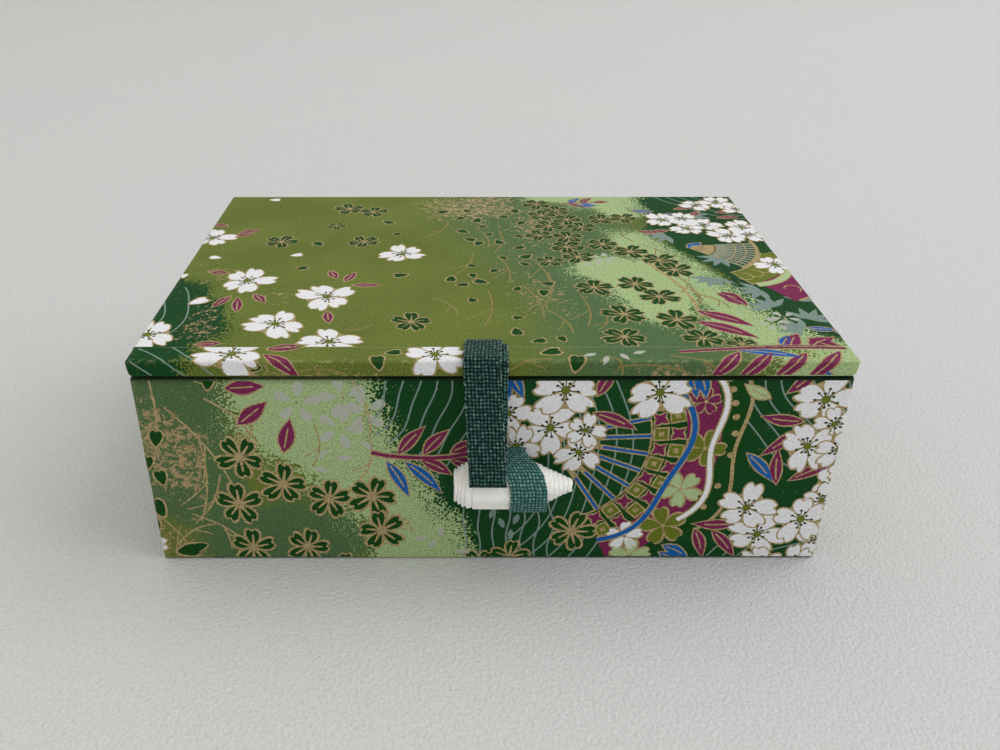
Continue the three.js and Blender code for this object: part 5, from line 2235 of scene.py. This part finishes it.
@dataclass
class ClothBand:
    """A narrow band of woven cloth that follows a line in the yz plane.

    path is the line through the middle of the cloth, and marks and middles say where the band's middle
    is in x at some distances along it.
    """

    path: Array
    marks: list[float]
    middles: list[float]
    width: float = 7.4
    core: float = 0.11
    relief: float = 0.11
    pitch: float = 0.7
    sample: float = 0.135

    def make(self, name: str, cloth: Material) -> Piece:
        """Builds the band.

        A point is middle(v) + u across and the path's point at v, and goes out along the path's normal by
        core + relief * weave_height(u, v). The edges wander by a tenth of a millimetre.

        Args:
            name: the piece's name.
            cloth: the cloth's material.

        Returns:
            The piece.
        """
        line = resample(self.path, self.sample)
        v = lengths(line)
        normal = -normals_of(line)
        u = np.linspace(-self.width / 2, self.width / 2, round(self.width / self.sample))
        across, along = np.meshgrid(u, v)
        edge = np.clip((np.abs(across) - self.width / 2 + 0.5) / 0.5, 0, 1)
        wander = 0.07 * np.sin(along * 9.1) + 0.06 * np.sin(along * 23 + 1.4 * np.sign(across))
        middle = np.interp(v, self.marks, self.middles)[:, None]
        drift = 0.05 * np.sin(along * 1.7 + 0.8 * across)
        warp, weft = across + self.width / 2 + drift, along + 0.04 * np.sin(across * 2.1)
        height = weave_height(warp, weft, self.pitch)
        thin = 1 - 0.7 * edge**3
        grids = []
        for side in (1, -1):
            out = side * (self.core + self.relief * height) * thin
            x = middle + across + np.sign(across) * (wander - 0.12) * edge
            y = line[:, :1] + normal[:, :1] * out
            z = line[:, 1:] + normal[:, 1:] * out
            grids.append(np.stack([x, y, z], -1))
        piece = Sheet(*grids, np.stack([across, along], -1), flip=True).make(name, [cloth, cloth], 3.1)
        set_values(piece, "thread", np.tile(height.ravel(), 2))
        set_values(piece, "fray", np.tile((edge**2).ravel(), 2))
        return piece


@dataclass
class Strap:
    """The closing strap: one strip of cloth folded into a loop, its ends glued under the lid's board."""

    cloth: Material
    pivot: Point = (-49.6, 49.06)
    ply_gap: float = 0.375
    reach: float = 24.35
    slit: float = -42.05
    lean: float = 23.7
    front_tail: float = 2.4
    back_tail: float = 1.6

    def build(self) -> Piece:
        """Builds the loop, bent over the lid's front edge.

        Returns:
            The piece.
        """
        lean = math.radians(self.lean)
        down = np.array([-math.sin(lean), -math.cos(lean)])
        out = np.array([-math.cos(lean), math.sin(lean)])
        pivot, gap = np.array(self.pivot), self.ply_gap
        top, low = self.pivot[1] + gap, self.pivot[1] - gap
        outer = pivot + gap * out
        inner = pivot - gap * out
        over = outer + down * (outer[1] - top) / -down[1]
        under = inner + down * (inner[1] - low) / -down[1]
        corners = [
            (self.slit + gap, top - self.front_tail), (self.slit + gap, top),
            tuple(over), tuple(outer + down * self.reach),
            tuple(inner + down * self.reach), tuple(under),
            (self.slit - gap, low), (self.slit - gap, low - self.back_tail),
        ]
        path = rounded_path([np.array(c) for c in corners], [0.9, 1.1, 0.36, 0.36, 0.5, 0.3])
        sides = [float(np.linalg.norm(np.subtract(b, a))) for a, b in zip(corners, corners[1:])]
        legs = np.cumsum([0.0, *sides])
        total = lengths(path)[-1]
        marks = [mark * total / legs[-1] for mark in legs]
        band = ClothBand(path, marks, [-1.5, -1.6, -2.15, -0.9, -0.85, -0.65, -0.5, -0.4])
        piece = band.make("strap", self.cloth)
        finish_piece(piece, ("strap_root", "strap_loop"))
        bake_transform(piece)
        return piece


@dataclass
class Toggle:
    """The rolled-paper bead and the cloth keeper that holds it to the tray's front wall."""

    paper: Material
    cloth: Material
    centre: Point = (-54.0, 23.35)
    keeper_radius: float = 5.17

    def build(self) -> None:
        """Builds both pieces."""
        self.bead()
        self.keeper()

    def bead(self) -> None:
        """A strip of paper that narrows, rolled up: a barrel whose ends go down in steps, one for each turn.

        The section runs from the bore at the blunt end to the bore at the pointed end. Each point is turned
        about the bead's axis. As a hand-rolled bead is never quite round, the radius is times
        1 + 0.014 sin(5a + 1.1x) + 0.008 sin(11a - 2.3x), and the turns at the ends lean by
        0.09 sin(3a + 0.9x). Three flats 4.5 from the axis are pressed into its front.
        """
        section = [(-5.6, 0.02), (-5.6, 0.7), (-7.2, 0.8), (-7.38, 1.0)]
        section += [(-7.38 + 0.05 * (k % 2), 1.3 + 0.28 * k) for k in range(7)]
        section += self.steps([-7.38, -6.7, -6.0, -5.2], [3.3, 3.8, 4.25])
        section += self.steps([-5.2, -3.9], [4.6])
        section += [(-3.8, 4.72), (-1.0, 4.79), (2.2, 4.79), (5.4, 4.79), (7.4, 4.76), (7.55, 4.5)]
        section += self.steps([7.6, 9.2], [4.5])
        turns = [9.2, 10.15, 11.1, 12.05, 13.0, 13.95, 14.9, 15.88]
        section += self.steps(turns, [4.1, 3.65, 3.2, 2.75, 2.3, 1.9, 1.5])
        section += [(15.88, 1.0), (15.7, 0.7), (14.4, 0.6), (14.4, 0.02)]
        section = np.array(section)
        angle = np.linspace(0, 2 * np.pi, 120, endpoint=False)
        x, r = section[:, :1], section[:, 1:]
        out_of_round = 1 + 0.014 * np.sin(5 * angle + 1.1 * x) + 0.008 * np.sin(11 * angle - 2.3 * x)
        x = x + 0.09 * np.sin(3 * angle + 0.9 * x) * (np.abs(x - 4) > 8.6)
        widest, flat = 4.79, 4.5
        radius = np.minimum(r * np.where(r > 1.2, out_of_round, 1), widest)
        for tilt in (2.75, 3.6, 4.5):
            facing = np.cos(angle - tilt)
            pressed = np.minimum(radius, flat / np.maximum(facing, 0.5))
            radius = np.where(facing > 0.5, pressed, radius)
        y = self.centre[0] + radius * np.cos(angle)
        z = self.centre[1] + radius * np.sin(angle)
        grid = np.stack([np.broadcast_to(x, y.shape), y, z], -1)
        rows, columns = grid.shape[:2]
        faces = closed_faces(rows, columns)
        piece = make_object("toggle", grid.reshape(-1, 3), faces, [self.paper])
        piece.data.set_sharp_from_angle(angle=0.5)
        finish_piece(piece, ("toggle_bead",), "toggle")

    def steps(self, xs: list[float], radii: list[float]) -> list[Point]:
        """A section of turns of paper: each spans from one x to the next, a little crowned, with a rounded
        edge at both ends.

        Args:
            xs: where each turn starts and ends.
            radii: the radius of each turn.

        Returns:
            The points.
        """
        found = []
        for a, b, radius in zip(xs, xs[1:], radii):
            for share, dip in ((0.0, 0.36), (0.07, 0.04), (0.2, 0.0), (0.6, 0.08), (0.93, 0.2), (1.0, 0.42)):
                found.append((a + (b - a) * share, radius - dip))
        return found

    def keeper(self) -> None:
        """The keeper: out of the wall, round the bead and back in below, moving to the right as it goes."""
        wall = -47.4
        y, z = self.centre
        angle = np.linspace(np.pi / 2, 3 * np.pi / 2, 60)
        radius = self.keeper_radius
        turn = np.column_stack([y + radius * np.cos(angle), z + radius * np.sin(angle)])
        path = np.concatenate([[(wall, z + radius)], turn, [(wall, z - radius)]])
        total = lengths(path)[-1]
        band = ClothBand(path, [0, 3.0, 9.5, 13, total], [2.9, 3.3, 6.3, 7.05, 7.05])
        piece = band.make("keeper", self.cloth)
        finish_piece(piece, ("toggle_keeper",), "tray")


@dataclass
class Hinge:
    """The cloth hinge: one strip glued up the back wall, over the lid's back edge and under the cover."""

    cloth: Material
    step: float = 0.4
    thickness: float = 0.33

    def build(self) -> None:
        """Builds the strip: its section in yz, rounded where it turns onto the lid, swept across the box."""
        wall_low, wall_high = box_mm("hinge_wall_leaf")
        lid_low, lid_high = box_mm("hinge_lid_leaf")
        corners = [(wall_high[1], wall_low[2]), (lid_high[1], lid_high[2]), (lid_low[1], lid_high[2])]
        outer = subdivide(rounded_path(corners, [0.5]), self.step)
        inner = outer + self.thickness * normals_of(outer)
        x = np.linspace(wall_high[0], wall_low[0], 140)
        grids = []
        for line in (outer, inner):
            grids.append(np.stack([at_height(np.column_stack([x, np.full(len(x), y)]), z) for y, z in line]))
        along = lengths(outer)
        uv = np.stack(np.meshgrid(-x, along), -1)
        piece = Sheet(*grids, uv).make("hinge_strip", [self.cloth, self.cloth])
        finish_piece(piece, ("hinge_wall_leaf", "hinge_lid_leaf"))
        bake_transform(piece)


# ---- The studio --------------------------------------------------------------------------------


@dataclass
class Studio:
    """A pale paper-covered table, soft daylight from the right, and the camera."""

    table_reach: float = 4000.0
    eye: tuple[float, float, float] = (-0.0066, -0.2042, 0.1313)
    pitch: float = 29.16
    yaw: float = -0.11
    lens: float = 33.49
    shift: Point = (0.0404, 0.0032)

    def build(self) -> None:
        """Builds the table, the lights, the sky and the camera."""
        self.floor()
        self.lights()
        self.camera()

    def floor(self) -> None:
        """The table: a wide plane covered in drawing paper, a fiftieth of a millimetre below the box."""
        reach, z = self.table_reach, -0.02
        points = np.array([(-reach, -reach, z), (reach, -reach, z), (reach, reach, z), (-reach, reach, z)])
        table = make_object("table", points, [[0, 1, 2, 3]], [DrawingPaper().make()], smooth=False)

    def lights(self) -> None:
        """A wide window of soft light on the right, the ceiling it lights, a weak bounce in front and a
        grey sky."""
        for name, place, aim, size, power, colour in (
            ("window", (1.65, 0.1, 1.55), (0, 0.1, 0), 2.2, 27.5, "#fafcff"),
            ("ceiling", (-0.4, 0.6, 2.1), (0, 0.2, 0), 2.6, 9.5, "#fffdf8"),
            ("bounce", (0.2, -1.5, 1.5), (0, 0, 0), 2.0, 6.5, "#fbfbff"),
        ):
            data = bpy.data.lights.new(name, "AREA")
            data.shape, data.size, data.energy = "SQUARE", size, power
            data.color = linear(colour)[:3]
            lamp = bpy.data.objects.new(name, data)
            lamp.location = place
            lamp.rotation_euler = (Vector(aim) - Vector(place)).to_track_quat("-Z", "Y").to_euler()
            bpy.context.scene.collection.objects.link(lamp)
        world = bpy.data.worlds.new("sky")
        world.use_nodes = True
        sky = world.node_tree.nodes["Background"]
        sky.inputs["Color"].default_value = linear("#f3f2ee")
        sky.inputs["Strength"].default_value = 0.594
        bpy.context.scene.world = world

    def camera(self) -> None:
        """The camera: in front of the box and above it, looking down by pitch degrees."""
        data = bpy.data.cameras.new("camera")
        data.lens, data.sensor_width = self.lens, 36.0
        data.shift_x, data.shift_y = self.shift
        data.clip_start, data.clip_end = 0.01, 20.0
        eye = bpy.data.objects.new("camera", data)
        eye.location = self.eye
        eye.rotation_euler = (math.radians(90 - self.pitch), 0, math.radians(self.yaw))
        bpy.context.scene.collection.objects.link(eye)
        bpy.context.scene.camera = eye
        bpy.context.scene.view_settings.view_transform = "Standard"


def main() -> None:
    """Builds the box piece by piece, then the studio."""
    logging.basicConfig(level=logging.INFO, format="%(name)s %(message)s")
    printed = PrintedPaper().make()
    core = PlainPaper("paper_core", "#e2dccb", "#cfc6b0").make()
    plain = PlainPaper("natural_mulberry_paper").make()
    board = Greyboard().make()
    inks = {ink: ink.value.make() for ink in Ink}
    Tray(board, printed, plain, core, inks).build()
    Lid(board, printed, plain, core, inks).build()
    woven = Bookcloth().make()
    Strap(woven).build()
    # A paler copy of the bookcloth for the keeper: partly painted light, as the curved keeper catches more
    # light than the strap, and partly its stretched threads.
    stretched = Bookcloth("teal_bookcloth_stretched_painted_lit", "#1c433e", "#3f746d", "#a6c6be").make()
    Toggle(RolledPaper().make(), stretched).build()
    Hinge(Bookcloth(name="teal_bookcloth_strip", woven_mesh=False).make()).build()
    Studio().build()


if __name__ == "__main__":
    main()
